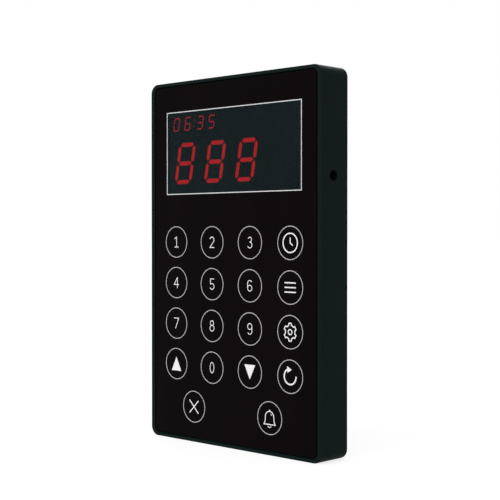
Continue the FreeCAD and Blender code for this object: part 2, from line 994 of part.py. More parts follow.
def icon_corners():
    """Outlines of the three unlit signs right of the clock: sound, battery and signal.
    Points are given as shares of their half height."""
    sound = [(-0.85, -0.38), (-0.38, -0.38), (0.54, -1), (0.54, 1), (-0.38, 0.38), (-0.85, 0.38)]
    battery = [(-1.15, -0.62), (0.92, -0.62), (0.92, -0.27), (1.15, -0.27)]
    battery += [(1.15, 0.27), (0.92, 0.27), (0.92, 0.62), (-1.15, 0.62)]
    signal = [(-0.92, 1), (-0.14, 0.15), (-0.14, -1), (0.14, -1), (0.14, 0.15), (0.92, 1)]
    signs = ((sound_sign_x, sound), (battery_sign_x, battery), (signal_sign_x, signal))
    return [
        [(x + across * sign_half_height, clock_middle + up * sign_half_height) for across, up in shape]
        for x, shape in signs
    ]


def shrunk(corners, gap):
    """Outline moved inwards by a small gap, worked out towards its middle."""
    mx = sum(x for x, _ in corners) / len(corners)
    mz = sum(z for _, z in corners) / len(corners)
    moved = []
    for x, z in corners:
        reach = math.hypot(x - mx, z - mz)
        part = (reach - gap) / reach
        moved.append((mx + (x - mx) * part, mz + (z - mz) * part))
    return moved


def display_body():
    """Reflector block with one well for each bar and sign, open to the chips behind."""
    depths = (module_front, module_floor)
    solid = block(about(0, module_width), depths, about(window_middle, module_height))
    lit, clock, unlit = display_bars()
    wells = [prism(corners, depths) for corners in lit + clock + unlit + icon_corners()]
    return cut_all(solid, wells)


def light_bars(outlines):
    """Clear resin bars that fill the front of their wells."""
    depths = (module_front, module_front + segment_depth)
    return [prism(shrunk(corners, segment_clearance), depths) for corners in outlines]


def lit_digits():
    return light_bars(display_bars()[0])


def lit_clock():
    return light_bars(display_bars()[1])


def unlit_bars():
    return light_bars(display_bars()[2])


def display_signs():
    return light_bars(icon_corners())


def display_pin_places():
    """Two rows of pins, along the head and the foot of the module."""
    half = module_height / 2 - display_pin_edge
    first = -(display_pins_per_row - 1) / 2 * display_pin_pitch
    return [
        (first + n * display_pin_pitch, window_middle + side * half)
        for side in (-1, 1)
        for n in range(display_pins_per_row)
    ]


def display_base():
    """Small board on the back of the reflector that carries the light chips."""
    plate = block(
        about(0, module_width), (module_floor, board_front), about(window_middle, module_height)
    )
    holes = [
        disc(x, z, display_pin_radius + pin_hole_clearance, (module_floor, board_front))
        for x, z in display_pin_places()
    ]
    return cut_all(plate, holes)


def display_pins():
    """Wire pins from the display module through the main board."""
    depths = (module_floor, board_back + display_pin_tail)
    return [disc(x, z, display_pin_radius, depths) for x, z in display_pin_places()]


def light_chips():
    """One small light chip under the middle of each bar and sign."""
    lit, clock, unlit = display_bars()
    chips = []
    for corners in lit + clock + unlit + icon_corners():
        x = sum(c[0] for c in corners) / len(corners)
        z = sum(c[1] for c in corners) / len(corners)
        chips.append(block(about(x, led_chip), (module_floor - led_chip, module_floor), about(z, led_chip)))
    return chips


# Touch board

def touch_board():
    depths = (ledge_front, touch_back)
    return block(about(0, touch_width), depths, about(touch_middle, touch_height))


def touch_pads():
    """Copper pad behind each printed ring."""
    depths = (ledge_front - pad_thickness, ledge_front)
    return [disc(x, z, ring_radius - pad_inset, depths) for x, z in all_keys]


def touch_tape():
    """Adhesive sheet that holds the touch board to the back of the panel."""
    return block(
        about(0, touch_width - 2 * tape_inset),
        (panel_back, ledge_front - pad_thickness),
        about(touch_middle, touch_height - 2 * tape_inset),
    )


def touch_controller():
    depths = (touch_back, touch_back + touch_chip_height)
    return block(about(0, touch_chip_side), depths, about(touch_chip_z, touch_chip_side))


# Main board

def main_board():
    """Board across the case behind the display, with holes for screws and pins."""
    depths = (board_front, board_back)
    plate = block((-board_half_width, board_half_width), depths, (board_foot, board_top))
    holes = [disc(x, z, board_screw_radius + screw_clearance, depths) for x, z in standoff_places]
    holes += [disc(x, z, display_pin_radius + pin_hole_clearance, depths) for x, z in display_pin_places()]
    side = link_pin + 2 * pin_hole_clearance
    holes += [block(about(x, side), depths, about(link_z, side)) for x in link_columns()]
    holes.append(disc(coil_foot()[0], coil_foot()[1], coil_wire_radius + pin_hole_clearance, depths))
    return cut_all(plate, holes)


def link_columns():
    return [link_place + (n - (link_pins - 1) / 2) * link_pitch for n in range(link_pins)]


def link_header():
    """Plastic base of the pin row on the main board."""
    return link_block(board_front - link_base, board_front)


def link_socket():
    """Socket strip on the back of the touch board, which takes the pin row."""
    return link_block(touch_back, board_front - link_base)


def link_block(front, back):
    strip = block(about(link_place, link_pins * link_pitch), (front, back), about(link_z, link_pitch))
    side = link_pin + 2 * pin_hole_clearance
    holes = [block(about(x, side), (front, back), about(link_z, side)) for x in link_columns()]
    return cut_all(strip, holes)


def link_pin_row():
    """Square pins between the two boards."""
    depths = (touch_back + pin_tail, board_back + pin_tail)
    return [block(about(x, link_pin), depths, about(link_z, link_pin)) for x in link_columns()]


def legs(x, z, width, height, count, depths, across):
    """Row of flat legs on two sides of a chip: its left and right, or its head and foot."""
    pitch = height / (count + 1)
    made = []
    for side in (-1, 1):
        edge = side * width / 2
        reach = sorted((edge, edge + side * chip_leg_reach))
        for n in range(count):
            off = (n - (count - 1) / 2) * pitch
            if across:
                made.append(block((x + reach[0], x + reach[1]), depths, about(z + off, pitch / 2)))
            else:
                made.append(block(about(x + off, pitch / 2), depths, (z + reach[0], z + reach[1])))
    return made


def driver_places():
    rise = (driver_length + driver_gap) / 2
    return [(driver_x, window_middle - rise), (driver_x, window_middle + rise)]


def microcontroller():
    depths = (board_back, board_back + controller_height)
    return block(about(controller_x, controller_side), depths, about(window_middle, controller_side))


def display_drivers():
    """Two chips that drive the display."""
    depths = (board_back, board_back + driver_height)
    return [block(about(x, driver_width), depths, about(z, driver_length)) for x, z in driver_places()]


def chip_legs():
    """Legs of the chips on the two boards."""
    main_depths = (board_back, board_back + chip_leg_thickness)
    touch_depths = (touch_back, touch_back + chip_leg_thickness)
    made = []
    for across in (True, False):
        made += legs(
            controller_x,
            window_middle,
            controller_side,
            controller_side,
            controller_legs,
            main_depths,
            across,
        )
        made += legs(
            0, touch_chip_z, touch_chip_side, touch_chip_side, touch_chip_legs, touch_depths, across
        )
    for x, z in driver_places():
        made += legs(x, z, driver_width, driver_length, driver_legs, main_depths, True)
    return made


def radio_board():
    """Small board between the touch board and the display module."""
    depths = (board_front - radio_board_thickness, board_front)
    return block(about(0, radio_board_width), depths, about(radio_z, radio_board_height))


def radio_shield():
    """Metal can over the radio circuit."""
    back = board_front - radio_board_thickness
    width = radio_board_width - 2 * shield_inset
    height = radio_board_height - 2 * shield_inset
    can = block(about(0, width), (back - shield_height, back), about(radio_z, height))
    hollow = block(
        about(0, width - 2 * shield_sheet),
        (back - shield_height + shield_sheet, back),
        about(radio_z, height - 2 * shield_sheet),
    )
    return can.cut(hollow)


def coil_foot():
    """Place where the antenna's foot goes through the main board."""
    return (radio_board_width / 2 + coil_gap, radio_z - coil_radius)


def antenna_coil():
    """Wire coil lying along X in front of the main board, on one straight foot."""
    x, foot_z = coil_foot()
    depth = board_front - coil_lift - coil_wire_radius - coil_radius
    spiral = Part.makeHelix(coil_pitch, coil_pitch * coil_turns, coil_radius)
    section = Part.Wire(
        Part.makeCircle(coil_wire_radius, FreeCAD.Vector(coil_radius, 0, 0), FreeCAD.Vector(0, 1, 0))
    )
    coil = Part.Wire(spiral).makePipeShell([section], True, True)
    coil.rotate(FreeCAD.Vector(0, 0, 0), FreeCAD.Vector(0, 1, 0), 90)
    coil.translate(point(x, depth, foot_z + coil_radius))
    foot = disc(x, foot_z, coil_wire_radius, (depth, board_back + pin_tail))
    return fused([coil, foot])


capacitor_side = 2 * (capacitor_radius + capacitor_base_lap)
foot_row = board_foot + part_spacing + capacitor_side / 2


def capacitor_places():
    """Two places left of the battery socket, along the foot of the main board."""
    step = capacitor_side + part_spacing
    first = socket_place - socket_width() / 2 - step + capacitor_side / 2
    return [(first, foot_row), (first - step, foot_row)]


def capacitor_bases():
    depths = (board_front - capacitor_base, board_front)
    side = capacitor_side
    return [block(about(x, side), depths, about(z, side)) for x, z in capacitor_places()]


def capacitor_cans():
    depths = (board_front - capacitor_height, board_front - capacitor_base)
    return [disc(x, z, capacitor_radius, depths) for x, z in capacitor_places()]


def crystal():
    """Metal can with round ends, left of the capacitors."""
    x = capacitor_places()[1][0] - capacitor_side / 2 - part_spacing - crystal_length / 2
    can = block(about(x, crystal_length - crystal_width), crystal_depths(), about(foot_row, crystal_width))
    half = (crystal_length - crystal_width) / 2
    ends = [disc(x + side * half, foot_row, crystal_width / 2, crystal_depths()) for side in (-1, 1)]
    return fused([can] + ends)


def crystal_depths():
    return (board_front - crystal_height, board_front)


def buzzer():
    """Flat sounder behind the main board, facing the holes in the cover."""
    x, z = buzzer_x, under_window
    back = board_back + buzzer_height
    box = slab(x, z, buzzer_side, buzzer_side, buzzer_hole_radius, (board_back, back))
    return box.cut(disc(x, z, buzzer_hole_radius, (back - buzzer_height / 2, back)))


def chip_resistors():
    """Two rows of small parts below the chips, behind the main board."""
    depths = (board_back, board_back + resistor_height)
    made = []
    for row in range(resistor_rows):
        for n in range(resistor_columns):
            x = resistors_x + (n - (resistor_columns - 1) / 2) * resistor_pitch
            z = under_window + (row + 0.5) * resistor_row_pitch
            made.append(block(about(x, resistor_length), depths, about(z, resistor_width)))
    return made


def power_regulator():
    """Charging and supply chip, behind the main board near the jack."""
    x = inner_half_width - jack_length - regulator_width
    depths = (board_back, board_back + regulator_thickness)
    return block(about(x, regulator_width), depths, about(port_z, regulator_height))


# Power jack

def jack_range():
    """X range of the jack: from its inner end to its mouth behind the wall."""
    mouth = inner_half_width - jack_wall_gap
    return (mouth - jack_length, mouth)


def jack_body():
    inner, mouth = jack_range()
    shell = block((inner, mouth), (board_front - jack_height, board_front), about(port_z, jack_width))
    socket = rod((mouth - jack_socket_depth, mouth), port_depth, port_z, jack_socket_radius)
    shank_hole = rod((inner, mouth), port_depth, port_z, jack_shank_radius)
    return cut_all(shell, [socket, shank_hole])


def jack_pin():
    """Centre contact of the jack, on a thinner shank in the jack's inner wall."""
    inner, mouth = jack_range()
    floor, tip = mouth - jack_socket_depth, mouth - jack_pin_setback
    pin = rod((floor, tip), port_depth, port_z, jack_pin_radius)
    pin = pin.makeChamfer(jack_pin_radius / 2, edges_at_x(pin, tip))
    return fused([pin, rod((inner, floor), port_depth, port_z, jack_shank_radius)])


def jack_tabs():
    """Two solder tabs at the inner end of the jack."""
    inner = jack_range()[0]
    depths = (port_depth + jack_pin_radius, board_front)
    return [
        block((inner - tab_thickness, inner), depths, about(port_z + side * jack_width / 4, tab_width))
        for side in (-1, 1)
    ]


# Power switch

def switch_range():
    """X range of the switch: from its face behind the wall to its inner side."""
    face = -inner_half_width + switch_wall_gap
    return (face, face + switch_width)


def switch_frame():
    """Metal frame of the switch, with a slot for the knob."""
    face, inner = switch_range()
    depths = (board_front - switch_height, board_front - switch_base_thickness)
    box = block((face, inner), depths, about(port_z, switch_length))
    hollow = block(
        (face + switch_shell, inner - switch_shell),
        (depths[0] + switch_shell, depths[1]),
        about(port_z, switch_length - 2 * switch_shell),
    )
    slot = block(
        (face, face + switch_shell),
        about(port_depth, knob_thickness + 2 * slide_clearance),
        about(port_z, knob_length + switch_travel + 2 * slide_clearance),
    )
    return cut_all(box, [hollow, slot])


def switch_base():
    """Plastic base of the switch, on the main board."""
    depths = (board_front - switch_base_thickness, board_front)
    return block(switch_range(), depths, about(port_z, switch_length))


def switch_slider():
    """Knob and its carriage. It is drawn in the upper place, which is on."""
    face, inner = switch_range()
    rest_z = port_z + switch_travel / 2
    front = board_front - switch_height + switch_shell + slide_clearance
    back = board_front - switch_base_thickness - slide_clearance
    carriage = block(
        (face + switch_shell + slide_clearance, inner - switch_shell - slide_clearance),
        (front, back),
        about(rest_z, carriage_length),
    )
    knob_x = -body_width / 2 + knob_setback
    knob_depths = about(port_depth, knob_thickness)
    knob = block((knob_x, face + switch_shell + slide_clearance), knob_depths, about(rest_z, knob_length))
    ribs = [
        block((knob_x - knob_rib / 2, knob_x), knob_depths, about(rest_z + n * knob_rib_pitch, knob_rib))
        for n in (-1, 0, 1)
    ]
    return fused([carriage, knob] + ribs)


# Battery

def battery_cell():
    """Flat pouch cell, held to the rear cover with foam tape."""
    depths = (battery_front, battery_back)
    middle = battery_lift + battery_height / 2
    cell = slab(0, middle, battery_width, battery_height, battery_edge, depths)
    return cell.makeFillet(battery_edge, edges_at_depth(cell, battery_front))


def battery_foam():
    middle = battery_lift + battery_height / 2
    inset = 2 * battery_board_inset
    return block(
        about(0, battery_width - inset), (battery_back, cover_front), about(middle, battery_height - inset)
    )


def battery_board():
    """Protection board along the top of the cell."""
    depths = about((battery_front + battery_back) / 2, battery_board_thickness)
    width = battery_width - 2 * battery_board_inset
    return block(about(0, width), depths, (battery_top, battery_top + battery_board_height))


def plug_depths():
    middle = board_front - socket_wall - plug_thickness / 2 - slide_clearance
    return about(middle, plug_thickness)


def plug_foot():
    """Height of the lower end of the battery plug."""
    return board_foot + socket_wall + plug_insertion - plug_height


def battery_plug():
    foot = plug_foot()
    box = block(about(socket_place, plug_width), plug_depths(), (foot, foot + plug_height))
    middle = sum(plug_depths()) / 2
    holes = [
        Part.makeCylinder(lead_radius, plug_height / 2, point(x, middle, foot), FreeCAD.Vector(0, 0, 1))
        for x in lead_columns()
    ]
    return cut_all(box, holes)


def lead_columns():
    return [socket_place - lead_pitch / 2, socket_place + lead_pitch / 2]


def socket_width():
    return plug_width + 2 * (slide_clearance + socket_wall)


def battery_socket():
    """Socket on the main board that takes the plug from below."""
    front = plug_depths()[0] - slide_clearance - socket_wall
    foot = board_foot + socket_wall
    box = block(
        about(socket_place, socket_width()),
        (front, board_front),
        (foot, foot + plug_insertion + slide_clearance + socket_floor),
    )
    inside = block(
        about(socket_place, plug_width + 2 * slide_clearance),
        (plug_depths()[0] - slide_clearance, plug_depths()[1] + slide_clearance),
        (foot, foot + plug_insertion + slide_clearance),
    )
    return box.cut(inside)


def lead_route(number):
    """Points that one battery lead passes, from the protection board up into the plug."""
    x0 = battery_width / 2 - battery_board_inset - (1.5 - number) * lead_pitch
    x1 = lead_columns()[number]
    cell_middle = (battery_front + battery_back) / 2
    plug_middle = sum(plug_depths()) / 2
    start_z = battery_top + battery_board_height
    end_z = plug_foot() + plug_height / 2
    first_turn, second_turn = [start_z + share * (end_z - start_z) for share in lead_turns]
    return [
        point(x0, cell_middle, start_z),
        point(x0, cell_middle, first_turn),
        point(x1, plug_middle, second_turn),
        point(x1, plug_middle, end_z),
    ]


def lead_wire(points):
    """Straight runs joined by arcs that touch them, each arc as large as its runs allow."""
    edges = []
    start = points[0]
    for before, corner, after in zip(points, points[1:], points[2:]):
        come, go = corner.sub(before), after.sub(corner)
        turn = come.getAngle(go)
        run = min(come.Length, go.Length) * 0.45
        radius = run / math.tan(turn / 2)
        arc_in = corner.sub(FreeCAD.Vector(come).normalize().multiply(run))
        arc_out = corner.add(FreeCAD.Vector(go).normalize().multiply(run))
        inward = arc_in.add(arc_out).multiply(0.5).sub(corner).normalize()
        middle = corner.add(inward.multiply(math.hypot(radius, run) - radius))
        edges.append(Part.makeLine(start, arc_in))
        edges.append(Part.Arc(arc_in, middle, arc_out).toShape())
        start = arc_out
    edges.append(Part.makeLine(start, points[-1]))
    return Part.Wire(edges)


def battery_lead(number):
    points = lead_route(number)
    section = Part.Wire(Part.makeCircle(lead_radius, points[0], FreeCAD.Vector(0, 0, 1)))
    return lead_wire(points).makePipeShell([section], True, False)


def battery_lead_red():
    return battery_lead(1)


def battery_lead_black():
    return battery_lead(0)


PIECES = [
    housing,
    rear_cover,
    cover_screws,
    board_screws,
    rubber_feet,
    front_panel,
    display_window,
    window_frame_line,
    key_rings,
    key_numerals,
    key_arrows,
    key_symbols,
    panel_tape,
    display_body,
    lit_digits,
    lit_clock,
    unlit_bars,
    display_signs,
    display_base,
    display_pins,
    light_chips,
    touch_board,
    touch_pads,
    touch_tape,
    touch_controller,
    main_board,
    link_header,
    link_socket,
    link_pin_row,
    microcontroller,
    display_drivers,
    chip_legs,
    radio_board,
    radio_shield,
    antenna_coil,
    crystal,
    capacitor_bases,
    capacitor_cans,
    buzzer,
    chip_resistors,
    power_regulator,
    jack_body,
    jack_pin,
    jack_tabs,
    switch_frame,
    switch_base,
    switch_slider,
    battery_cell,
    battery_foam,
    battery_board,
    battery_plug,
    battery_socket,
    battery_lead_red,
    battery_lead_black,
]

os.makedirs("parts", exist_ok=True)
for piece in PIECES:
    made = piece()
    if isinstance(made, list):
        made = Part.makeCompound(made)
    solids = made.Solids
    print(piece.__name__, len(solids), made.isValid(), round(sum(s.Volume for s in solids), 2))
    made.exportStep("parts/" + piece.__name__ + ".step")
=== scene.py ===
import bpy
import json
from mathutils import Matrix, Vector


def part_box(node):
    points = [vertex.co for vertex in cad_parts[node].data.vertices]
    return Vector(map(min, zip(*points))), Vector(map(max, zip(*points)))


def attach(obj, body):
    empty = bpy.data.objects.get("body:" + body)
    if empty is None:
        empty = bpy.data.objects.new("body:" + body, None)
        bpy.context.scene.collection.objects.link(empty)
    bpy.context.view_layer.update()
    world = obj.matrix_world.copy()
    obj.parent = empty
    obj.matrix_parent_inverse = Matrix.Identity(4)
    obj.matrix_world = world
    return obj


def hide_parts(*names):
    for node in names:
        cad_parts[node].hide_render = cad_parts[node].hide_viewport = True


bl_info = {
    "name": "Counter call keypad",
    "version": (1, 0, 0),
    "blender": (4, 5, 0),
    "location": "3D View > Sidebar > Keypad",
    "description": "Builds the outside and the display of a counter call keypad round its packed frame",
    "category": "Add Mesh",
}

import json
import math

import bmesh
import bpy
from mathutils import Vector

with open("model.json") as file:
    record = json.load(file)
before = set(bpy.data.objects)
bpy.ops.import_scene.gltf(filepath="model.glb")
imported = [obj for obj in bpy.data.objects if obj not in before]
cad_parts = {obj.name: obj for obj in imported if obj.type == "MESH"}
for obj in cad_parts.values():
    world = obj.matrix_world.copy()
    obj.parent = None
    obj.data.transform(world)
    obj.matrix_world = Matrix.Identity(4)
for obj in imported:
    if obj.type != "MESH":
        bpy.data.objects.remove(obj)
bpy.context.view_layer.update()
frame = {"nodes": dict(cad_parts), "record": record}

MM = 0.001
KEYPAD = "keypad"
KNOB = "switch_knob"
X, Y, Z = range(3)

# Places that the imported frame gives
CASE_LOW, CASE_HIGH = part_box("housing")
FRONT, BACK = CASE_LOW.y, CASE_HIGH.y

# Nearness of two places, and of two points that become one
NEAR = 0.01 * MM
MERGE = NEAR / 10

# How squarely a face looks along an axis
FLAT = 0.999

# Angles between two faces that count as one face, as a corner, and as a sharply shaded edge
SAME_FACE = math.radians(1)
CORNER_ANGLE = math.radians(20)
SHARP_ANGLE = math.radians(35)

# Steps of the round stretches
CORNER_STEPS = 16
EDGE_STEPS = 4
LIP_STEPS = 3
LENS_STEPS = 2
RING_STEPS = 96
HOLE_STEPS = 64
SMALL_STEPS = 32

# Rounding as a share of the size beside it: of a foot, the scoop and the jack's pin, and of a knob's rib
EDGE_SHARE = 1 / 2
RIB_EDGE_SHARE = 1 / 3

# Depth of the cross in a screw as a share of the head's height
CROSS_SHARE = 1 / 2

# How far a cutting tool reaches past what it cuts
SPARE = 1.0 * MM

# Layout of the keys: a grid, and a last row of two keys set between its columns
KEY_COLUMNS = 4
KEY_ROWS = 4
LAST_ROW = (0.5, 2.5)
SOUND_HOLES = 6


def length(name, value, description):
    """Length property, given in millimetres."""
    return bpy.props.FloatProperty(
        name=name,
        description=description,
        default=value * MM,
        min=0,
        precision=5,
        subtype="DISTANCE",
        unit="LENGTH",
    )


def colour(name, value, description):
    """Colour property."""
    return bpy.props.FloatVectorProperty(
        name=name, description=description, default=value, size=3, min=0, max=1, subtype="COLOR"
    )


class KeypadSizes(bpy.types.PropertyGroup):
    corner_radius: length("Case corner", 4.7, "Radius of the case's corners")
    front_edge: length("Front edge", 0.25, "Rounding of the case's front edge")
    back_edge: length("Back edge", 0.5, "Rounding of the case's back edge")
    wall: length("Wall", 2.4, "Thickness of the side walls")
    panel_gap: length("Panel gap", 0.7, "Gap between panel and rim")
    panel_corner: length("Panel corner", 2.6, "Radius of the panel's corners")
    ledge: length("Ledge", 1.6, "Thickness of the ledge behind the panel")
    ledge_depth: length("Ledge depth", 1.65, "Depth of the ledge behind the front face")
    bay_gap: length("Bay gap", 0.4, "Gap round display module and touch board")
    lip: length("Lip", 0.12, "Rounding of thin edges")
    boss_radius: length("Boss", 3.2, "Radius of a cover screw's boss")
    standoff_radius: length("Standoff", 2.6, "Radius of a main board standoff")
    cover_pilot: length("Cover pilot", 1.15, "Radius of a cover screw's pilot hole")
    cover_pilot_depth: length("Cover pilot depth", 7.0, "Depth of a cover screw's pilot hole")
    board_head: length("Board screw head", 1.9, "Radius of a board screw's head")
    board_pilot: length("Board pilot", 0.9, "Radius of a board screw's pilot hole")
    board_pilot_depth: length("Board pilot depth", 5.0, "Depth of a board screw's pilot hole")
    lens_gap: length("Lens gap", 0.05, "Gap between lens and panel")
    frame_line: length("Frame line", 0.44, "Width of the line round the window")
    ring_line: length("Ring line", 0.38, "Width of a key ring's line")
    ring_radius: length("Ring radius", 7.71, "Radius of a key ring's middle line")
    glow_edge: length("Glow edge", 0.34, "Width of a large lit bar's darker edge")
    clock_glow_edge: length("Clock glow edge", 0.1, "Width of a small bar's darker edge")
    cover_thickness: length("Cover", 2.0, "Thickness of the rear cover")
    cover_corner: length("Cover corner", 2.15, "Radius of the rear cover's corners")
    cover_edge: length("Cover edge", 0.2, "Rounding of the rear cover's edge")
    keyhole_spacing: length("Keyhole spacing", 60.0, "Distance between the two keyholes")
    keyhole_drop: length("Keyhole drop", 30.0, "Distance of the keyholes from the top")
    keyhole_radius: length("Keyhole", 4.0, "Radius of a keyhole's entry")
    keyhole_slot: length("Keyhole slot", 4.0, "Width of a keyhole's slot")
    keyhole_rise: length("Keyhole rise", 8.0, "Rise of a keyhole's slot above its entry")
    foot_radius: length("Foot", 5.0, "Radius of a rubber foot")
    foot_seat: length("Foot seat", 0.8, "Depth of a foot's seat in the cover")
    foot_gap: length("Foot gap", 0.1, "Gap round a foot in its seat")
    foot_rim: length("Foot rim", 1.2, "Width of the rim round a foot's dish")
    sound_hole: length("Sound hole", 0.75, "Radius of a sound hole")
    sound_ring: length("Sound ring", 3.2, "Radius of the ring of sound holes")
    label_width: length("Label width", 56.0, "Width of the bare label recess")
    label_height: length("Label height", 30.0, "Height of the bare label recess")
    label_place: length("Label place", 78.0, "Height of the label recess's middle")
    label_depth: length("Label depth", 0.3, "Depth of the label recess")
    label_corner: length("Label corner", 2.0, "Radius of the label recess's corners")
    thumb_width: length("Thumb slot width", 14.0, "Width of the slot that lifts the cover")
    thumb_height: length("Thumb slot height", 1.2, "Height of the slot that lifts the cover")
    rib_gap: length("Rib gap", 0.4, "Gap between battery and ribs")
    rib_thickness: length("Rib", 1.2, "Thickness of the cover's ribs")
    rib_height: length("Rib height", 3.0, "Height of the cover's ribs")
    screw_radius: length("Screw", 1.1, "Radius of a cover screw's shank")
    screw_gap: length("Screw gap", 0.3, "Gap round a cover screw's shank")
    screw_seat_gap: length("Screw seat gap", 0.05, "Gap round a cover screw's head")
    screw_head: length("Screw head", 2.4, "Radius of a cover screw's head")
    screw_head_height: length("Screw head height", 1.3, "Height of a cover screw's head")
    screw_slot: length("Screw slot", 0.6, "Width of the cross in a screw's head")
    screw_cross: length("Screw cross", 2.88, "Length of the cross in a screw's head")
    jack_hole: length("Jack hole", 2.5, "Radius of the jack's hole in the wall")
    jack_socket: length("Jack socket", 1.85, "Radius of the jack's socket")
    jack_depth: length("Jack depth", 7.0, "Depth of the jack's socket")
    jack_pin: length("Jack pin", 0.55, "Radius of the jack's centre pin")
    port_edge: length("Port edge", 0.18, "Rounding of the holes in the sides")
    knob_length: length("Knob length", 3.0, "Length of the switch knob")
    knob_thickness: length("Knob thickness", 2.0, "Thickness of the switch knob")
    knob_edge: length("Knob edge", 0.24, "Rounding of the switch knob's outer edge")
    knob_gap: length("Knob gap", 0.35, "Gap round the switch knob in its slot")
    knob_shell: length("Switch shell", 0.5, "Thickness of the switch's metal frame")
    knob_slide: length("Switch slide", 0.12, "Gap round the knob's carriage")
    knob_travel: length("Knob travel", 2.0, "Travel of the switch knob")
    knob_rib: length("Knob rib", 0.25, "Width of a rib on the switch knob")
    knob_rib_pitch: length("Knob rib pitch", 0.75, "Distance between the knob's ribs")
    scoop_depth: length("Scoop depth", 1.2, "Depth of the fingertip scoop")
    scoop_margin: length("Scoop margin", 1.5, "Reach of the scoop past the slot")


class KeypadColours(bpy.types.PropertyGroup):
    case: colour("Case", (0.0041, 0.0098, 0.0096), "Plastic of the case")
    cover: colour("Cover", (0.0055, 0.0085, 0.0085), "Plastic of the rear cover")
    panel: colour("Panel", (0.0038, 0.0023, 0.0027), "Black touch panel")
    window: colour("Window", (0.0081, 0.0169, 0.0188), "Smoked display window")
    ink: colour("Ink", (0.93, 0.93, 0.94), "Printed numerals, arrows and symbols")
    frame_ink: colour("Frame ink", (0.7, 0.7, 0.71), "Printed line round the window")
    ring_ink: colour("Ring ink", (0.48, 0.48, 0.49), "Printed key rings")
    lit: colour("Lit bars", (1.0, 0.006, 0.012), "Light of the large figures")
    clock: colour("Lit clock", (1.0, 0.012, 0.05), "Light of the clock")
    unlit: colour("Unlit bars", (0.014, 0.019, 0.021), "Dark bars and signs of the display")
    # Black plastic, darkened further with painted shade of the deep socket
    jack: colour("Jack", (0.0014, 0.0014, 0.0015), "Plastic round the jack's socket")
    rubber: colour("Rubber", (0.012, 0.012, 0.013), "Feet")


# Modelling steps

def choose(piece):
    """Selects this object and nothing else."""
    bpy.ops.object.select_all(action="DESELECT")
    piece.select_set(True)
    bpy.context.view_layer.objects.active = piece


def settled(name):
    """Names the new object and moves its place into its mesh."""
    piece = bpy.context.active_object
    piece.name = piece.data.name = name
    bpy.ops.object.transform_apply(location=True, rotation=True, scale=True)
    return piece


def start_block(name, low, high):
    """Block between two corners."""
    low, high = Vector(low), Vector(high)
    bpy.ops.object.select_all(action="DESELECT")
    bpy.ops.mesh.primitive_cube_add(size=1, location=(low + high) / 2, scale=high - low)
    return settled(name)


def start_disc(name, centre, radius, height, axis=Y, steps=HOLE_STEPS):
    """Round piece about its centre, with its axis along X or Y."""
    turn = (math.pi / 2, 0, 0) if axis == Y else (0, math.pi / 2, 0)
    bpy.ops.object.select_all(action="DESELECT")
    bpy.ops.mesh.primitive_cylinder_add(
        vertices=steps, radius=radius, depth=height, end_fill_type="NGON", location=centre, rotation=turn
    )
    return settled(name)


def duplicate(source, name):
    """Copy of an object, with a mesh of its own."""
    copy = source.copy()
    copy.data = source.data.copy()
    copy.name = copy.data.name = name
    bpy.context.collection.objects.link(copy)
    return copy


def edit(piece):
    choose(piece)
    bpy.ops.object.mode_set(mode="EDIT")


def leave():
    bpy.ops.object.mode_set(mode="OBJECT")


def pick(kind, test):
    """Selects the faces, edges or points that pass the test in the piece being edited."""
    bpy.ops.mesh.select_mode(type=kind)
    bpy.ops.mesh.select_all(action="DESELECT")
    data = bpy.context.active_object.data
    mesh = bmesh.from_edit_mesh(data)
    members = {"FACE": mesh.faces, "EDGE": mesh.edges, "VERT": mesh.verts}[kind]
    found = [item for item in members if test(item)]
    if not found:
        raise ValueError(f"{data.name}: nothing to select")
    for item in found:
        item.select_set(True)
    mesh.select_flush_mode()
    bmesh.update_edit_mesh(data)


def near(value, place):
    return abs(value - place) < NEAR


def at_corner(edge):
    """Test for edges that aren't flat within a face."""
    return edge.calc_face_angle(0) > CORNER_ANGLE


def in_plane(axis, place):
    """Test for edges that lie in a plane and aren't flat within a face."""
    return lambda edge: at_corner(edge) and all(near(point.co[axis], place) for point in edge.verts)


def runs_along(axis):
    """Test for edges that run along an axis."""
    others = [other for other in (X, Y, Z) if other != axis]
    return lambda edge: all(near(edge.verts[0].co[other], edge.verts[1].co[other]) for other in others)


def round_port(side, port, reach):
    """Test for edges on one side of the case that lie round a port."""
    at_side = in_plane(X, side)
    return lambda edge: at_side(edge) and (edge.verts[0].co - port).yz.length < reach


def faces_at(axis, way, place):
    """Test for flat faces that look one way along an axis and lie in a plane."""
    return lambda face: face.normal[axis] * way > FLAT and near(face.calc_center_median()[axis], place)


def inset(width):
    bpy.ops.mesh.inset(thickness=width, use_even_offset=True)


def shift(offset):
    bpy.ops.transform.translate(value=offset)


def shrink(share):
    bpy.ops.transform.resize(value=(share, share, share))


def extrude(offset):
    bpy.ops.mesh.extrude_region_move(TRANSFORM_OT_translate={"value": offset})


def soften(width, steps, *tests):
    """Rounds the edges that pass each test, test by test, in the piece being edited."""
    for test in tests:
        pick("EDGE", test)
        bpy.ops.mesh.bevel(offset=width, offset_type="OFFSET", segments=steps, profile=0.5, affect="EDGES")


def soften_piece(piece, width, steps, *tests):
    edit(piece)
    soften(width, steps, *tests)
    leave()


def rounded_plate(name, low, high, corner, front_edge=0, back_edge=0):
    """Plate seen from the front, with round corners and softened front and back edges."""
    piece = start_block(name, low, high)
    edit(piece)
    soften(corner, CORNER_STEPS, runs_along(Y))
    for place, width in ((low[Y], front_edge), (high[Y], back_edge)):
        if width:
            soften(width, EDGE_STEPS, in_plane(Y, place))
    leave()
    return piece


def carve(piece, tool, operation="DIFFERENCE"):
    """Cuts a tool out of a piece, or adds it to the piece, and takes the tool away."""
    modifier = piece.modifiers.new("carve", "BOOLEAN")
    modifier.operation = operation
    modifier.solver = "EXACT"
    modifier.object = tool
    choose(piece)
    bpy.ops.object.modifier_apply(modifier=modifier.name)
    bpy.data.objects.remove(tool, do_unlink=True)


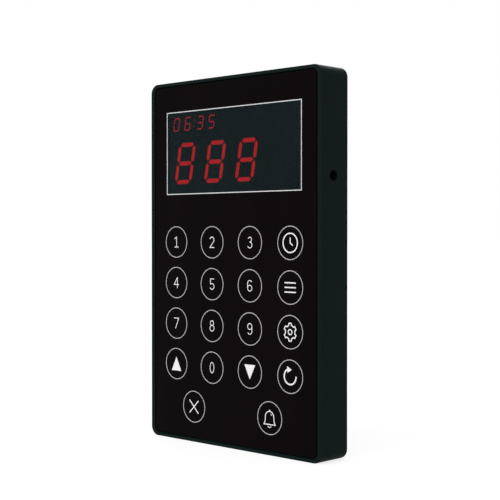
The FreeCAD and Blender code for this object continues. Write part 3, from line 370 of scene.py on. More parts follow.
def drill(piece, centre, radius, height, axis=Y, steps=HOLE_STEPS):
    """Cuts a round hole, as a disc about its centre."""
    carve(piece, start_disc("drill", centre, radius, height, axis, steps))


def merge_doubles():
    bpy.ops.mesh.select_all(action="SELECT")
    bpy.ops.mesh.remove_doubles(threshold=MERGE)


def finish(piece, slot, node, body=KEYPAD, look=None):
    """Smooths the round stretches, and gives the piece its finish and its place in the frame."""
    edit(piece)
    merge_doubles()
    leave()
    bpy.ops.object.shade_smooth_by_angle(angle=SHARP_ANGLE)
    weighted = piece.modifiers.new("flat faces lead", "WEIGHTED_NORMAL")
    weighted.keep_sharp = True
    bpy.ops.object.modifier_apply(modifier=weighted.name)
    piece.data.materials.clear()
    piece.data.materials.append(finish_of(look or slot))
    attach(piece, body)
    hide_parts(node)


# Shader parts

# Sockets of a Mix node that is set to colours
MIX_SHARE, MIX_LOW, MIX_HIGH = 0, 6, 7
MIX_RESULT = 2

# Moulded grain: weight of its cells, shift of the tone that paints shade into its pits, depth of its
# relief, and how far gloss varies
CELL_WEIGHT = 0.6
PIT_SHADE_SHIFT = -0.35
GRAIN_DEPTH = 0.06 * MM
MOTTLE_GLOSS = 0.08

# Wipe marks: their slant, the scale along them, and the levels of noise at which they start and are full
WIPE_SLANT = math.radians(24)
WIPE_STRETCH = 0.35
WIPE_START = 0.42
WIPE_FULL = 0.72

# Lit bars: unevenness of the resin, and brightness at the edge and along the middle
RESIN_UNEVEN = 0.12
GLOW_AT_EDGE = 0.3
GLOW_AT_MIDDLE = 0.93

# Relief of ink and metal, and of tape, boards and rubber
FINE_RELIEF = 0.01 * MM
COARSE_RELIEF = 0.03 * MM


def add_node(tree, kind, **values):
    """Adds a node, with its settings and its free sockets set by name."""
    node = tree.nodes.new(kind)
    for name, value in values.items():
        if hasattr(node, name):
            setattr(node, name, value)
        else:
            node.inputs[name.replace("_", " ").title()].default_value = value
    return node


def wire(source, output, target, socket):
    """Links an output of one node to a socket of another."""
    source.id_data.links.new(source.outputs[output], target.inputs[socket])


def effect(name, inputs, outputs):
    """New node group with named value sockets; returns it with its input and output nodes."""
    group = bpy.data.node_groups.new(name, "ShaderNodeTree")
    group.interface.new_socket(name="Vector", in_out="INPUT", socket_type="NodeSocketVector")
    for label, default in inputs.items():
        socket = group.interface.new_socket(name=label, in_out="INPUT", socket_type="NodeSocketFloat")
        socket.default_value = default
    for label in outputs:
        group.interface.new_socket(name=label, in_out="OUTPUT", socket_type="NodeSocketFloat")
    return group, group.nodes.new("NodeGroupInput"), group.nodes.new("NodeGroupOutput")


def moulded_grain():
    """Spark-eroded texture of a mould: height, a tone darkened in the pits as painted shade, and a slow
    mottle.
    """
    name = "Moulded grain"
    if name in bpy.data.node_groups:
        return bpy.data.node_groups[name]
    group, given, out = effect(name, {"Grain": 4000.0, "Mottle": 60.0}, ("Height", "Pit shade", "Mottle"))
    fine = add_node(group, "ShaderNodeTexNoise", detail=2.0, roughness=0.55)
    cells = add_node(group, "ShaderNodeTexVoronoi", feature="F1")
    slow = add_node(group, "ShaderNodeTexNoise", detail=3.0, roughness=0.5)
    for texture, scale in ((fine, "Grain"), (cells, "Grain"), (slow, "Mottle")):
        wire(given, "Vector", texture, "Vector")
        wire(given, scale, texture, "Scale")
    both = add_node(group, "ShaderNodeMath", operation="MULTIPLY_ADD")
    both.inputs[1].default_value = CELL_WEIGHT
    wire(cells, "Distance", both, 0)
    wire(fine, "Fac", both, 2)
    # Painted shade: the tone follows the height, so the grain's pits are darker
    pit_shade = add_node(group, "ShaderNodeMath", operation="ADD", use_clamp=True)
    pit_shade.inputs[1].default_value = PIT_SHADE_SHIFT
    wire(both, 0, pit_shade, 0)
    wire(both, 0, out, "Height")
    wire(pit_shade, 0, out, "Pit shade")
    wire(slow, "Fac", out, "Mottle")
    return group


def handling():
    """Faint wipe marks and specks of dust: two masks."""
    name = "Handling"
    if name in bpy.data.node_groups:
        return bpy.data.node_groups[name]
    group, given, out = effect(name, {"Wipe": 35.0, "Speck": 900.0, "Speck share": 0.1}, ("Wipe", "Dust"))
    slant = add_node(group, "ShaderNodeMapping", rotation=(0, WIPE_SLANT, 0), scale=(1, 1, WIPE_STRETCH))
    wipe = add_node(group, "ShaderNodeTexNoise", detail=4.0, roughness=0.6, distortion=0.4)
    marks = add_node(group, "ShaderNodeMapRange", from_min=WIPE_START, from_max=WIPE_FULL)
    specks = add_node(group, "ShaderNodeTexVoronoi", feature="F1")
    dust = add_node(group, "ShaderNodeMapRange", to_min=1.0, to_max=0.0)
    marks.interpolation_type = dust.interpolation_type = "SMOOTHSTEP"
    wire(given, "Vector", slant, "Vector")
    wire(slant, "Vector", wipe, "Vector")
    wire(given, "Wipe", wipe, "Scale")
    wire(wipe, "Fac", marks, "Value")
    wire(given, "Vector", specks, "Vector")
    wire(given, "Speck", specks, "Scale")
    wire(specks, "Distance", dust, "Value")
    wire(given, "Speck share", dust, "From Max")
    wire(marks, "Result", out, "Wipe")
    wire(dust, "Result", out, "Dust")
    return group


class Finish:
    """One material on object coordinates, with the steps that build it."""

    def __init__(self, name, **constants):
        self.material = bpy.data.materials.new(name)
        self.material.use_nodes = True
        self.tree = self.material.node_tree
        self.shader = self.tree.nodes["Principled BSDF"]
        self.coordinates = self.tree.nodes.new("ShaderNodeTexCoord")
        for label, value in constants.items():
            self.shader.inputs[label.replace("_", " ")].default_value = value

    def link(self, source, target):
        self.tree.links.new(source, target)

    def group(self, made, **values):
        """Shared effect, with this finish's own values."""
        node = self.tree.nodes.new("ShaderNodeGroup")
        node.node_tree = made
        wire(self.coordinates, "Object", node, "Vector")
        for label, value in values.items():
            node.inputs[label.replace("_", " ")].default_value = value
        return node.outputs

    def texture(self, kind, scale, **values):
        node = add_node(self.tree, kind, scale=scale, **values)
        wire(self.coordinates, "Object", node, "Vector")
        return node.outputs

    def colours(self, mask, low, high, target="Base Color", blend="MIX"):
        """Colour that runs with a mask from low, a colour or a socket, to high."""
        mix = add_node(self.tree, "ShaderNodeMix", data_type="RGBA", blend_type=blend)
        if isinstance(low, bpy.types.NodeSocket):
            self.link(low, mix.inputs[MIX_LOW])
        else:
            mix.inputs[MIX_LOW].default_value = (*low, 1)
        mix.inputs[MIX_HIGH].default_value = (*high, 1)
        self.link(mask, mix.inputs[MIX_SHARE])
        wire(mix, MIX_RESULT, self.shader, target)
        return mix.outputs[MIX_RESULT]

    def roughness(self, mask, low, high):
        """Roughness that runs with a mask."""
        spread = add_node(self.tree, "ShaderNodeMapRange", to_min=low, to_max=high)
        self.link(mask, spread.inputs["Value"])
        wire(spread, "Result", self.shader, "Roughness")

    def bump(self, height, strength, depth):
        node = add_node(self.tree, "ShaderNodeBump", strength=strength, distance=depth)
        self.link(height, node.inputs["Height"])
        wire(node, "Normal", self.shader, "Normal")

    def follow(self, mask, colours, rough, relief):
        """Colour, roughness and relief that all run with one mask."""
        self.colours(mask, *colours)
        self.roughness(mask, *rough)
        self.bump(mask, *relief)
        return self.material


def shade(value, share):
    """Colour made lighter or darker by a share."""
    return tuple(min(1.0, part * share) for part in value)


def moulded(name, base, rough, grain, strength, specular=0.03, spread=0.15):
    """Moulded plastic: satin grain whose pits are darkened with painted shade, slow mottle in gloss."""
    made = Finish(name, Specular_IOR_Level=specular)
    texture = made.group(moulded_grain(), Grain=grain)
    # Painted shade in the grain's pits, as strong as spread
    made.colours(texture["Pit shade"], shade(base, 1 - spread), shade(base, 1 + spread))
    made.roughness(texture["Mottle"], rough - MOTTLE_GLOSS, rough + MOTTLE_GLOSS)
    made.bump(texture["Height"], strength, GRAIN_DEPTH)
    return made.material


def printed(name, ink):
    """Screen-printed ink, a little uneven in cover."""
    made = Finish(name, Specular_IOR_Level=0.2)
    cover = made.texture("ShaderNodeTexNoise", 2200.0, detail=3.0)["Fac"]
    return made.follow(cover, (shade(ink, 0.9), shade(ink, 1.1)), (0.45, 0.65), (0.2, FINE_RELIEF))


def glowing(name, base, strength):
    """Resin bar lit from behind: brightest along its middle, darker at its edge."""
    made = Finish(name, Roughness=0.45, Specular_IOR_Level=0.2, Emission_Strength=strength)
    glow = add_node(made.tree, "ShaderNodeAttribute", attribute_name="glow")
    diffuser = made.texture("ShaderNodeTexNoise", 1500.0, detail=2.0)["Fac"]
    uneven = add_node(made.tree, "ShaderNodeMath", operation="MULTIPLY_ADD")
    uneven.inputs[1].default_value = RESIN_UNEVEN
    made.link(diffuser, uneven.inputs[0])
    wire(glow, "Fac", uneven, 2)
    edge, middle = shade(base, GLOW_AT_EDGE), shade(base, GLOW_AT_MIDDLE)
    made.colours(uneven.outputs[0], edge, middle, target="Emission Color")
    made.colours(diffuser, (0.02, 0.004, 0.005), (0.03, 0.006, 0.007))
    return made.material


def metal(name, low, high, rough, scale, stretch=1.0):
    """Metal with fine marks, drawn out along X where stretch is over 1."""
    made = Finish(name, Metallic=1.0)
    turn = add_node(made.tree, "ShaderNodeMapping", scale=(1 / stretch, 1, 1))
    marks = add_node(made.tree, "ShaderNodeTexNoise", detail=4.0, scale=scale)
    wire(made.coordinates, "Object", turn, "Vector")
    wire(turn, "Vector", marks, "Vector")
    gloss = (rough - 0.1, rough + 0.12)
    return made.follow(marks.outputs["Fac"], (low, high), gloss, (0.15, FINE_RELIEF))


# Finishes, each under the name of the record's slot or of the look that it makes
FINISHES = {}


def listed(make):
    """Lists a finish under its function's name."""
    FINISHES[make.__name__] = make
    return make


@listed
def case_plastic(colours):
    return moulded("case plastic", colours.case, 0.5, grain=3000.0, strength=0.45, spread=0.3)


@listed
def cover_plastic(colours):
    return moulded("cover plastic", colours.cover, 0.6, grain=2000.0, strength=0.6, spread=0.35)


@listed
def black_gloss(colours):
    """Hard-coated black panel with faint wipe marks and a little dust."""
    made = Finish("black panel", Specular_IOR_Level=0.015)
    marks = made.group(handling(), Speck=420.0, Speck_share=0.05)
    wiped = made.colours(marks["Wipe"], shade(colours.panel, 0.92), shade(colours.panel, 1.12))
    made.colours(marks["Dust"], wiped, shade(colours.panel, 2.0), blend="ADD")
    made.roughness(marks["Wipe"], 0.16, 0.3)
    return made.material


@listed
def smoked_window(colours):
    """Smoked lens: lets a part of the light behind it through."""
    made = Finish("smoked window", Specular_IOR_Level=0.05, Alpha=0.6)
    marks = made.group(handling(), Wipe=70.0)
    made.colours(marks["Wipe"], shade(colours.window, 0.85), shade(colours.window, 1.1))
    made.roughness(marks["Wipe"], 0.12, 0.26)
    return made.material


@listed
def white_print(colours):
    return printed("white print", colours.ink)


@listed
def frame_print(colours):
    return printed("frame print", colours.frame_ink)


@listed
def ring_print(colours):
    return printed("ring print", colours.ring_ink)


@listed
def clear_tape(colours):
    made = Finish("clear tape", Specular_IOR_Level=0.4, Alpha=0.7)
    wrinkle = made.texture("ShaderNodeTexNoise", 300.0, detail=3.0)["Fac"]
    tints = ((0.25, 0.25, 0.22), (0.4, 0.4, 0.36))
    return made.follow(wrinkle, tints, (0.25, 0.5), (0.2, COARSE_RELIEF))


@listed
def reflector_plastic(colours):
    return moulded("reflector", (0.012, 0.017, 0.018), 0.6, grain=6000.0, strength=0.15)


@listed
def lit_resin(colours):
    return glowing("lit bars", colours.lit, 2.2)


@listed
def lit_resin_dim(colours):
    return glowing("lit clock", colours.clock, 1.9)


@listed
def unlit_resin(colours):
    return moulded("unlit bars", colours.unlit, 0.4, grain=5000.0, strength=0.1)


@listed
def board_green(colours):
    """Solder mask over buried copper tracks."""
    made = Finish("board", Specular_IOR_Level=0.4)
    tracks = add_node(made.tree, "ShaderNodeTexBrick", scale=260.0, mortar_size=0.16)
    wire(made.coordinates, "Object", tracks, "Vector")
    for label, level in (("Color1", 0.0), ("Color2", 0.15), ("Mortar", 1.0)):
        tracks.inputs[label].default_value = (level, level, level, 1)
    made.colours(tracks.outputs["Color"], (0.003, 0.028, 0.014), (0.008, 0.06, 0.028))
    made.roughness(tracks.outputs["Color"], 0.3, 0.4)
    made.bump(tracks.outputs["Fac"], 0.3, COARSE_RELIEF)
    return made.material


@listed
def copper_pad(colours):
    return metal("copper", (0.7, 0.36, 0.2), (0.85, 0.52, 0.34), 0.3, 900.0)


@listed
def pin_metal(colours):
    return metal("tinned pins", (0.55, 0.54, 0.5), (0.75, 0.74, 0.7), 0.28, 2500.0)


@listed
def steel_zinc(colours):
    return metal("zinc screws", (0.26, 0.27, 0.28), (0.46, 0.47, 0.49), 0.35, 1800.0)


@listed
def sheet_steel(colours):
    return metal("sheet steel", (0.5, 0.51, 0.52), (0.68, 0.69, 0.7), 0.3, 1600.0, stretch=12.0)


@listed
def chip_black(colours):
    return moulded("chip resin", (0.012, 0.012, 0.013), 0.55, grain=7000.0, strength=0.3, specular=0.4)


@listed
def chip_light(colours):
    return moulded("light chips", (0.65, 0.65, 0.55), 0.35, grain=6000.0, strength=0.1, specular=0.5)


@listed
def part_black(colours):
    return moulded("black parts", (0.008, 0.008, 0.009), 0.5, grain=5000.0, strength=0.2, specular=0.25)


# Black plastic with painted shade: darker than the other black parts, since the jack's hole lies in shade
@listed
def jack_shaded_black(colours):
    return moulded("jack plastic with painted shade", colours.jack, 0.6, grain=5000.0, strength=0.2)


@listed
def connector_white(colours):
    base = (0.75, 0.73, 0.62)
    return moulded("connector", base, 0.45, grain=3500.0, strength=0.1, specular=0.5, spread=0.06)


@listed
def foot_rubber(colours):
    """Rubber with a matt skin and a little dust."""
    made = Finish("foot rubber", Specular_IOR_Level=0.2)
    texture = made.group(moulded_grain(), Grain=3000.0)
    marks = made.group(handling(), Speck=1400.0, Speck_share=0.16)
    made.colours(marks["Dust"], colours.rubber, shade(colours.rubber, 3.0))
    made.roughness(texture["Mottle"], 0.75, 0.92)
    made.bump(texture["Height"], 0.5, COARSE_RELIEF)
    return made.material


@listed
def cell_foil(colours):
    """Aluminium pouch with shallow wrinkles."""
    made = Finish("cell foil", Metallic=0.85)
    wrinkle = made.texture("ShaderNodeTexNoise", 120.0, detail=5.0, distortion=0.8)["Fac"]
    return made.follow(wrinkle, ((0.5, 0.51, 0.53), (0.68, 0.69, 0.71)), (0.3, 0.5), (0.5, 0.2 * MM))


@listed
def foam_grey(colours):
    """Open foam, its pores darkened with painted shade."""
    made = Finish("foam", Specular_IOR_Level=0.1)
    cells = made.texture("ShaderNodeTexVoronoi", 1800.0)["Distance"]
    # Painted shade: darkest at the cell middles, which the bump sinks into pores
    return made.follow(cells, ((0.03, 0.03, 0.032), (0.16, 0.16, 0.165)), (0.85, 1.0), (0.7, 0.1 * MM))


@listed
def lead_red(colours):
    return moulded("red lead", (0.5, 0.012, 0.01), 0.4, grain=2500.0, strength=0.1, specular=0.4)


@listed
def lead_black(colours):
    return moulded("black lead", (0.012, 0.012, 0.012), 0.4, grain=2500.0, strength=0.1, specular=0.4)


made_finishes = {}


def finish_of(slot):
    """Material of a slot or a look, made once."""
    if slot not in made_finishes:
        made_finishes[slot] = FINISHES[slot](bpy.context.scene.keypad_colours)
    return made_finishes[slot]


# Places of nodes

def depth_of(node):
    """Range of a node along Y."""
    low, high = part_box(node)
    return low.y, high.y


def centre_of(node):
    low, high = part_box(node)
    return (low + high) / 2


def corners_of(node, reach):
    """Centres of the four like pieces of a node, which lie this far inside its box's corners."""
    low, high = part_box(node)
    return [(x, z) for x in (low.x + reach, high.x - reach) for z in (low.z + reach, high.z - reach)]


# Pieces

class Step:
    """What the operators that build the keypad share."""

    bl_options = {"REGISTER", "UNDO"}


class KEYPAD_OT_case(Step, bpy.types.Operator):
    """Builds the case: side walls, rim, ledge, bosses and the openings in its sides"""

    bl_idname = "keypad.case"
    bl_label = "Case"

    def execute(self, context):
        sizes = context.scene.keypad_sizes
        case = rounded_plate(
            "case_shell", CASE_LOW, CASE_HIGH, sizes.corner_radius, sizes.front_edge, sizes.back_edge
        )
        self.hollow(case, sizes)
        self.posts(case, sizes)
        self.bays(case, sizes)
        self.ports(case, sizes)
        finish(case, "case_plastic", "housing")
        return {"FINISHED"}

    def hollow(self, case, sizes):
        """Pocket for the panel in front, and the open back, with the ledge between them."""
        panel_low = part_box("front_panel")[0]
        rim_side = panel_low.x - sizes.panel_gap - CASE_LOW.x
        rim_end = panel_low.z - sizes.panel_gap - CASE_LOW.z
        rim = sizes.corner_radius - sizes.panel_corner - sizes.panel_gap
        edit(case)
        at_front = faces_at(Y, -1, FRONT)
        pick("FACE", at_front)
        inset(rim - sizes.front_edge)
        for axis, width in ((X, rim_side), (Z, rim_end)):
            for way in (1, -1):
                pick("VERT", pocket_side(rim, axis, way))
                offset = Vector((0, 0, 0))
                offset[axis] = (width - rim) * way
                shift(offset)
        pick("FACE", lambda face: at_front(face) and len(face.verts) > CORNER_STEPS * 4)
        extrude((0, sizes.ledge_depth, 0))
        pick("FACE", faces_at(Y, 1, BACK))
        inset(sizes.wall - sizes.back_edge)
        extrude((0, FRONT + sizes.ledge_depth + sizes.ledge - BACK, 0))
        soften(sizes.lip, LIP_STEPS, rim_inside(CASE_HIGH.x - rim_side, CASE_HIGH.z - rim_end))
        leave()

    def posts(self, case, sizes):
        """Bosses for the cover's screws and standoffs for the main board, with their pilot holes."""
        foot = FRONT + sizes.ledge_depth + sizes.ledge - NEAR
        cover_front = BACK - sizes.cover_thickness
        board_front = depth_of("main_board")[0]
        bosses = corners_of("cover_screws", sizes.screw_head)
        standoffs = corners_of("board_screws", sizes.board_head)
        for places, end, radius, pilot, depth in (
            (bosses, cover_front, sizes.boss_radius, sizes.cover_pilot, sizes.cover_pilot_depth),
            (standoffs, board_front, sizes.standoff_radius, sizes.board_pilot, sizes.board_pilot_depth),
        ):
            for x, z in places:
                post = start_disc("post", (x, (foot + end) / 2, z), radius, end - foot, steps=SMALL_STEPS)
                carve(case, post, "UNION")
                drill(case, (x, end, z), pilot, 2 * depth, steps=SMALL_STEPS)

    def bays(self, case, sizes):
        """Openings of the ledge for the display module and the touch board."""
        front = FRONT + sizes.ledge_depth - SPARE
        back = FRONT + sizes.ledge_depth + sizes.ledge + SPARE
        gap = Vector((sizes.bay_gap, 0, sizes.bay_gap))
        for node in ("display_body", "touch_board"):
            low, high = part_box(node)
            low, high = low - gap, high + gap
            carve(case, start_block("bay", (low.x, front, low.z), (high.x, back, high.z)))

    def ports(self, case, sizes):
        """The jack's hole on the right, and on the left the switch's slot with its fingertip scoop."""
        port = centre_of("jack_pin")
        place = (CASE_HIGH.x - sizes.wall / 2, port.y, port.z)
        drill(case, place, sizes.jack_hole, 2 * sizes.wall, X)
        half_slot = Vector((0, sizes.knob_thickness / 2 + sizes.knob_gap, 0))
        half_slot.z = (sizes.knob_length + sizes.knob_travel) / 2 + sizes.knob_gap
        half_scoop = half_slot + Vector((0, sizes.scoop_margin, sizes.scoop_margin))
        outside = Vector((CASE_LOW.x - SPARE, port.y, port.z))
        inside = Vector((CASE_LOW.x + sizes.wall + SPARE, port.y, port.z))
        floor = Vector((CASE_LOW.x + sizes.scoop_depth, port.y, port.z))
        scoop = start_block("scoop", outside - half_scoop, floor + half_scoop)
        edit(scoop)
        soften(sizes.scoop_margin * EDGE_SHARE, EDGE_STEPS, runs_along(X))
        soften(sizes.scoop_depth * EDGE_SHARE, EDGE_STEPS, in_plane(X, floor.x))
        leave()
        carve(case, scoop)
        carve(case, start_block("slot", outside - half_slot, inside + half_slot))
        reach = half_scoop.length + SPARE
        rims = [round_port(side, port, reach) for side in (CASE_LOW.x, CASE_HIGH.x)]
        soften_piece(case, sizes.port_edge, LIP_STEPS, *rims)


def pocket_side(rim, axis, way):
    """Test for the points of the pocket's outline on one side of the case's middle."""
    middle = (CASE_LOW[axis] + CASE_HIGH[axis]) / 2

    def test(point):
        place = point.co
        within = all(CASE_LOW[n] + rim - NEAR < place[n] < CASE_HIGH[n] - rim + NEAR for n in (X, Z))
        return within and near(place.y, FRONT) and (middle - place[axis]) * way > 0

    return test


def rim_inside(reach_x, high_z):
    """Test for the inner edges of the rim, at the front."""
    at_front = in_plane(Y, FRONT)

    def test(edge):
        places = [point.co for point in edge.verts]
        return at_front(edge) and all(abs(co.x) < reach_x + NEAR and co.z < high_z + NEAR for co in places)

    return test


class KEYPAD_OT_panel(Step, bpy.types.Operator):
    """Builds the black touch panel, with its opening for the display window"""

    bl_idname = "keypad.panel"
    bl_label = "Touch panel"

    def execute(self, context):
        sizes = context.scene.keypad_sizes
        low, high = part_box("front_panel")
        panel = rounded_plate("touch_panel", low, high, sizes.panel_corner, front_edge=sizes.lip)
        low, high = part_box("display_window")
        gap = Vector((sizes.lens_gap, SPARE, sizes.lens_gap))
        carve(panel, start_block("opening", low - gap, high + gap))
        finish(panel, "black_gloss", "front_panel")
        return {"FINISHED"}


class KEYPAD_OT_window(Step, bpy.types.Operator):
    """Builds the smoked lens and the printed line round it"""

    bl_idname = "keypad.window"
    bl_label = "Display window"

    def execute(self, context):
        sizes = context.scene.keypad_sizes
        low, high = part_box("display_window")
        lens = start_block("window_lens", low, high)
        soften_piece(lens, sizes.lens_gap, LENS_STEPS, in_plane(Y, low.y))
        finish(lens, "smoked_window", "display_window")
        low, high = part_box("window_frame_line")
        line = start_block("frame_line", low, high)
        open_middle(line, low.y, high.y, sizes.frame_line)
        finish(line, "white_print", "window_frame_line", look="frame_print")
        return {"FINISHED"}


def open_middle(piece, front, back, width):
    """Leaves a border of one width round an opening, in a flat piece."""
    edit(piece)
    for way, place in ((-1, front), (1, back)):
        pick("FACE", faces_at(Y, way, place))
        inset(width)
    largest = {}
    for face in bmesh.from_edit_mesh(piece.data).faces:
        if abs(face.normal.y) > FLAT:
            way = face.normal.y > 0
            if way not in largest or len(face.verts) > largest[way][0]:
                largest[way] = (len(face.verts), face.index)
    inner = [index for _, index in largest.values()]
    pick("FACE", lambda face: face.select or face.index in inner)
    bpy.ops.mesh.bridge_edge_loops()
    leave()


class KEYPAD_OT_rings(Step, bpy.types.Operator):
    """Builds one printed ring and copies it to every key"""

    bl_idname = "keypad.rings"
    bl_label = "Key rings"

    def execute(self, context):
        sizes = context.scene.keypad_sizes
        low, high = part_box("key_rings")
        reach = sizes.ring_radius + sizes.ring_line / 2
        first = (low.x + reach, (low.y + high.y) / 2, high.z - reach)
        column_step = (high.x - low.x - 2 * reach) / (KEY_COLUMNS - 1)
        row_step = (high.z - low.z - 2 * reach) / KEY_ROWS
        ring = start_disc("key_ring_01", first, reach, high.y - low.y, steps=RING_STEPS)
        open_middle(ring, low.y, high.y, sizes.ring_line)
        keys = [(column, row) for row in range(KEY_ROWS) for column in range(KEY_COLUMNS)]
        keys += [(column, KEY_ROWS) for column in LAST_ROW]
        rings = [ring]
        for number, (column, row) in enumerate(keys[1:], 2):
            copy = duplicate(ring, f"key_ring_{number:02d}")
            copy.location = (column * column_step, 0, -row * row_step)
            choose(copy)
            bpy.ops.object.transform_apply(location=True, rotation=True, scale=True)
            rings.append(copy)
        for piece in rings:
            finish(piece, "white_print", "key_rings", look="ring_print")
        return {"FINISHED"}


class KEYPAD_OT_display(Step, bpy.types.Operator):
    """Builds the bars and signs of the display, with their soft glow"""

    bl_idname = "keypad.display"
    bl_label = "Display"

    def execute(self, context):
        sizes = context.scene.keypad_sizes
        for name, node, slot, edge in (
            ("figure_bars", "lit_digits", "lit_resin", sizes.glow_edge),
            ("clock_bars", "lit_clock", "lit_resin_dim", sizes.clock_glow_edge),
            ("dark_bars", "unlit_bars", "unlit_resin", sizes.clock_glow_edge),
            ("dark_signs", "display_signs", "unlit_resin", sizes.clock_glow_edge),
        ):
            bars = copy_of(node, name)
            edit(bars)
            pick("FACE", faces_at(Y, -1, depth_of(node)[0]))
            bpy.ops.mesh.inset(thickness=edge, use_individual=True)
            bright = [point.index for point in bmesh.from_edit_mesh(bars.data).verts if point.select]
            leave()
            glow = bars.data.attributes.new("glow", "FLOAT", "POINT")
            for index in bright:
                glow.data[index].value = 1.0
            finish(bars, slot, node)
        return {"FINISHED"}


def copy_of(node, name):
    """Clean copy of a node's mesh: doubles merged, flat faces whole."""
    copy = duplicate(frame["nodes"][node], name)
    for key in list(copy.keys()):
        del copy[key]
    copy.parent = None
    edit(copy)
    merge_doubles()
    bpy.ops.mesh.dissolve_limited(angle_limit=SAME_FACE)
    leave()
    return copy


class KEYPAD_OT_cover(Step, bpy.types.Operator):
    """Builds the rear cover: keyholes, foot seats, sound holes, label recess and ribs"""

    bl_idname = "keypad.cover"
    bl_label = "Rear cover"

    def execute(self, context):
        sizes = context.scene.keypad_sizes
        low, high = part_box("rear_cover")
        front = BACK - sizes.cover_thickness
        low.y = front
        cover = rounded_plate("back_cover", low, high, sizes.cover_corner, back_edge=sizes.cover_edge)
        self.ribs(cover, front, sizes)
        middle = (front + BACK) / 2
        through = sizes.cover_thickness + 2 * SPARE
        reach = sizes.keyhole_slot / 2
        z = CASE_HIGH.z - sizes.keyhole_drop
        top = z + sizes.keyhole_rise
        for x in (-sizes.keyhole_spacing / 2, sizes.keyhole_spacing / 2):
            drill(cover, (x, middle, z), sizes.keyhole_radius, through)
            slot = start_block("slot", (x - reach, front - SPARE, z), (x + reach, BACK + SPARE, top))
            carve(cover, slot)
            drill(cover, (x, middle, top), reach, through)
        for x, z in corners_of("rubber_feet", sizes.foot_radius):
            drill(cover, (x, BACK, z), sizes.foot_radius + sizes.foot_gap, 2 * sizes.foot_seat)
        for x, z in corners_of("cover_screws", sizes.screw_head):
            drill(cover, (x, middle, z), sizes.screw_radius + sizes.screw_gap, through)
            carve(cover, self.screw_seat(x, z, sizes))
        for x, z in self.sound_places(sizes):
            drill(cover, (x, middle, z), sizes.sound_hole, through, steps=SMALL_STEPS)
        half = Vector((sizes.label_width / 2, sizes.label_depth, sizes.label_height / 2))
        place = Vector((0, BACK, sizes.label_place))
        carve(cover, rounded_plate("label", place - half, place + half, sizes.label_corner))
        side = sizes.thumb_width / 2
        thumb_top = CASE_LOW.z + sizes.wall + sizes.thumb_height
        carve(cover, start_block("thumb", (-side, middle, low.z - SPARE), (side, BACK + SPARE, thumb_top)))
        soften_piece(cover, sizes.lip, LIP_STEPS, self.mouths(thumb_top, high, sizes))
        finish(cover, "cover_plastic", "rear_cover")
        return {"FINISHED"}

    def mouths(self, thumb_top, high, sizes):
        """Test for the rims of holes and recesses, without screw seats, thumb slot and outline."""
        at_back = in_plane(Y, BACK)
        limit = high - Vector((1, 0, 1)) * (sizes.cover_edge + NEAR)
        seats = corners_of("cover_screws", sizes.screw_head)
        clear = sizes.screw_head + sizes.lip

        def test(edge):
            place = (edge.verts[0].co + edge.verts[1].co) / 2
            if not at_back(edge) or abs(place.x) > limit.x or not thumb_top + NEAR < place.z < limit.z:
                return False
            return all(math.hypot(place.x - x, place.z - z) > clear for x, z in seats)

        return test

    def ribs(self, cover, front, sizes):
        """Two upright ribs inside, beside the battery."""
        low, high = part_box("battery_cell")
        near_face = high.x + sizes.rib_gap
        far_face = near_face + sizes.rib_thickness
        tip = front - sizes.rib_height
        for first, last in ((-far_face, -near_face), (near_face, far_face)):
            rib = start_block("rib", (first, tip, low.z), (last, front + NEAR, high.z))
            carve(cover, rib, "UNION")

    def screw_seat(self, x, z, sizes):
        """Cone that widens a screw's hole to its head."""
        height = sizes.screw_head_height
        radius = sizes.screw_head + sizes.screw_seat_gap
        seat = start_disc("seat", (x, BACK - height / 2, z), radius, height)
        edit(seat)
        pick("FACE", faces_at(Y, -1, BACK - height))
        shrink((sizes.screw_radius + sizes.screw_seat_gap) / radius)
        pick("FACE", faces_at(Y, 1, BACK))
        extrude((0, SPARE, 0))
        leave()
        return seat

    def sound_places(self, sizes):
        """One hole over the buzzer's middle and a ring of holes round it."""
        centre = centre_of("buzzer")
        turns = [math.tau * n / SOUND_HOLES for n in range(SOUND_HOLES)]
        reach = sizes.sound_ring
        ring = [(centre.x + reach * math.cos(turn), centre.z + reach * math.sin(turn)) for turn in turns]
        return [(centre.x, centre.z), *ring]


class KEYPAD_OT_feet(Step, bpy.types.Operator):
    """Builds the four rubber feet in their seats"""

    bl_idname = "keypad.feet"
    bl_label = "Rubber feet"

    def execute(self, context):
        sizes = context.scene.keypad_sizes
        front, back = depth_of("rubber_feet")
        for number, (x, z) in enumerate(corners_of("rubber_feet", sizes.foot_radius), 1):
            place = (x, (front + back) / 2, z)
            foot = start_disc(f"rubber_foot_{number}", place, sizes.foot_radius, back - front)
            edit(foot)
            soften(sizes.foot_seat * EDGE_SHARE, EDGE_STEPS, in_plane(Y, back))
            pick("FACE", faces_at(Y, 1, back))
            inset(sizes.foot_rim)
            extrude((0, -sizes.lip, 0))
            leave()
            finish(foot, "foot_rubber", "rubber_feet")
        return {"FINISHED"}


class KEYPAD_OT_screws(Step, bpy.types.Operator):
    """Builds the four countersunk screws of the rear cover"""

    bl_idname = "keypad.screws"
    bl_label = "Cover screws"

    def execute(self, context):
        sizes = context.scene.keypad_sizes
        tip = depth_of("cover_screws")[0]
        radius, height = sizes.screw_head, sizes.screw_head_height
        reach, half = sizes.screw_cross / 2, sizes.screw_slot / 2
        for number, (x, z) in enumerate(corners_of("cover_screws", radius), 1):
            screw = start_disc(f"cover_screw_{number}", (x, BACK - height / 2, z), radius, height)
            edit(screw)
            pick("FACE", faces_at(Y, -1, BACK - height))
            shrink(sizes.screw_radius / radius)
            extrude((0, tip - (BACK - height), 0))
            soften(sizes.lip, LIP_STEPS, in_plane(Y, BACK))
            leave()
            floor = BACK - height * CROSS_SHARE
            for wide, tall in ((reach, half), (half, reach)):
                low, high = (x - wide, floor, z - tall), (x + wide, BACK + SPARE, z + tall)
                carve(screw, start_block("cross", low, high))
            finish(screw, "steel_zinc", "cover_screws")
        return {"FINISHED"}


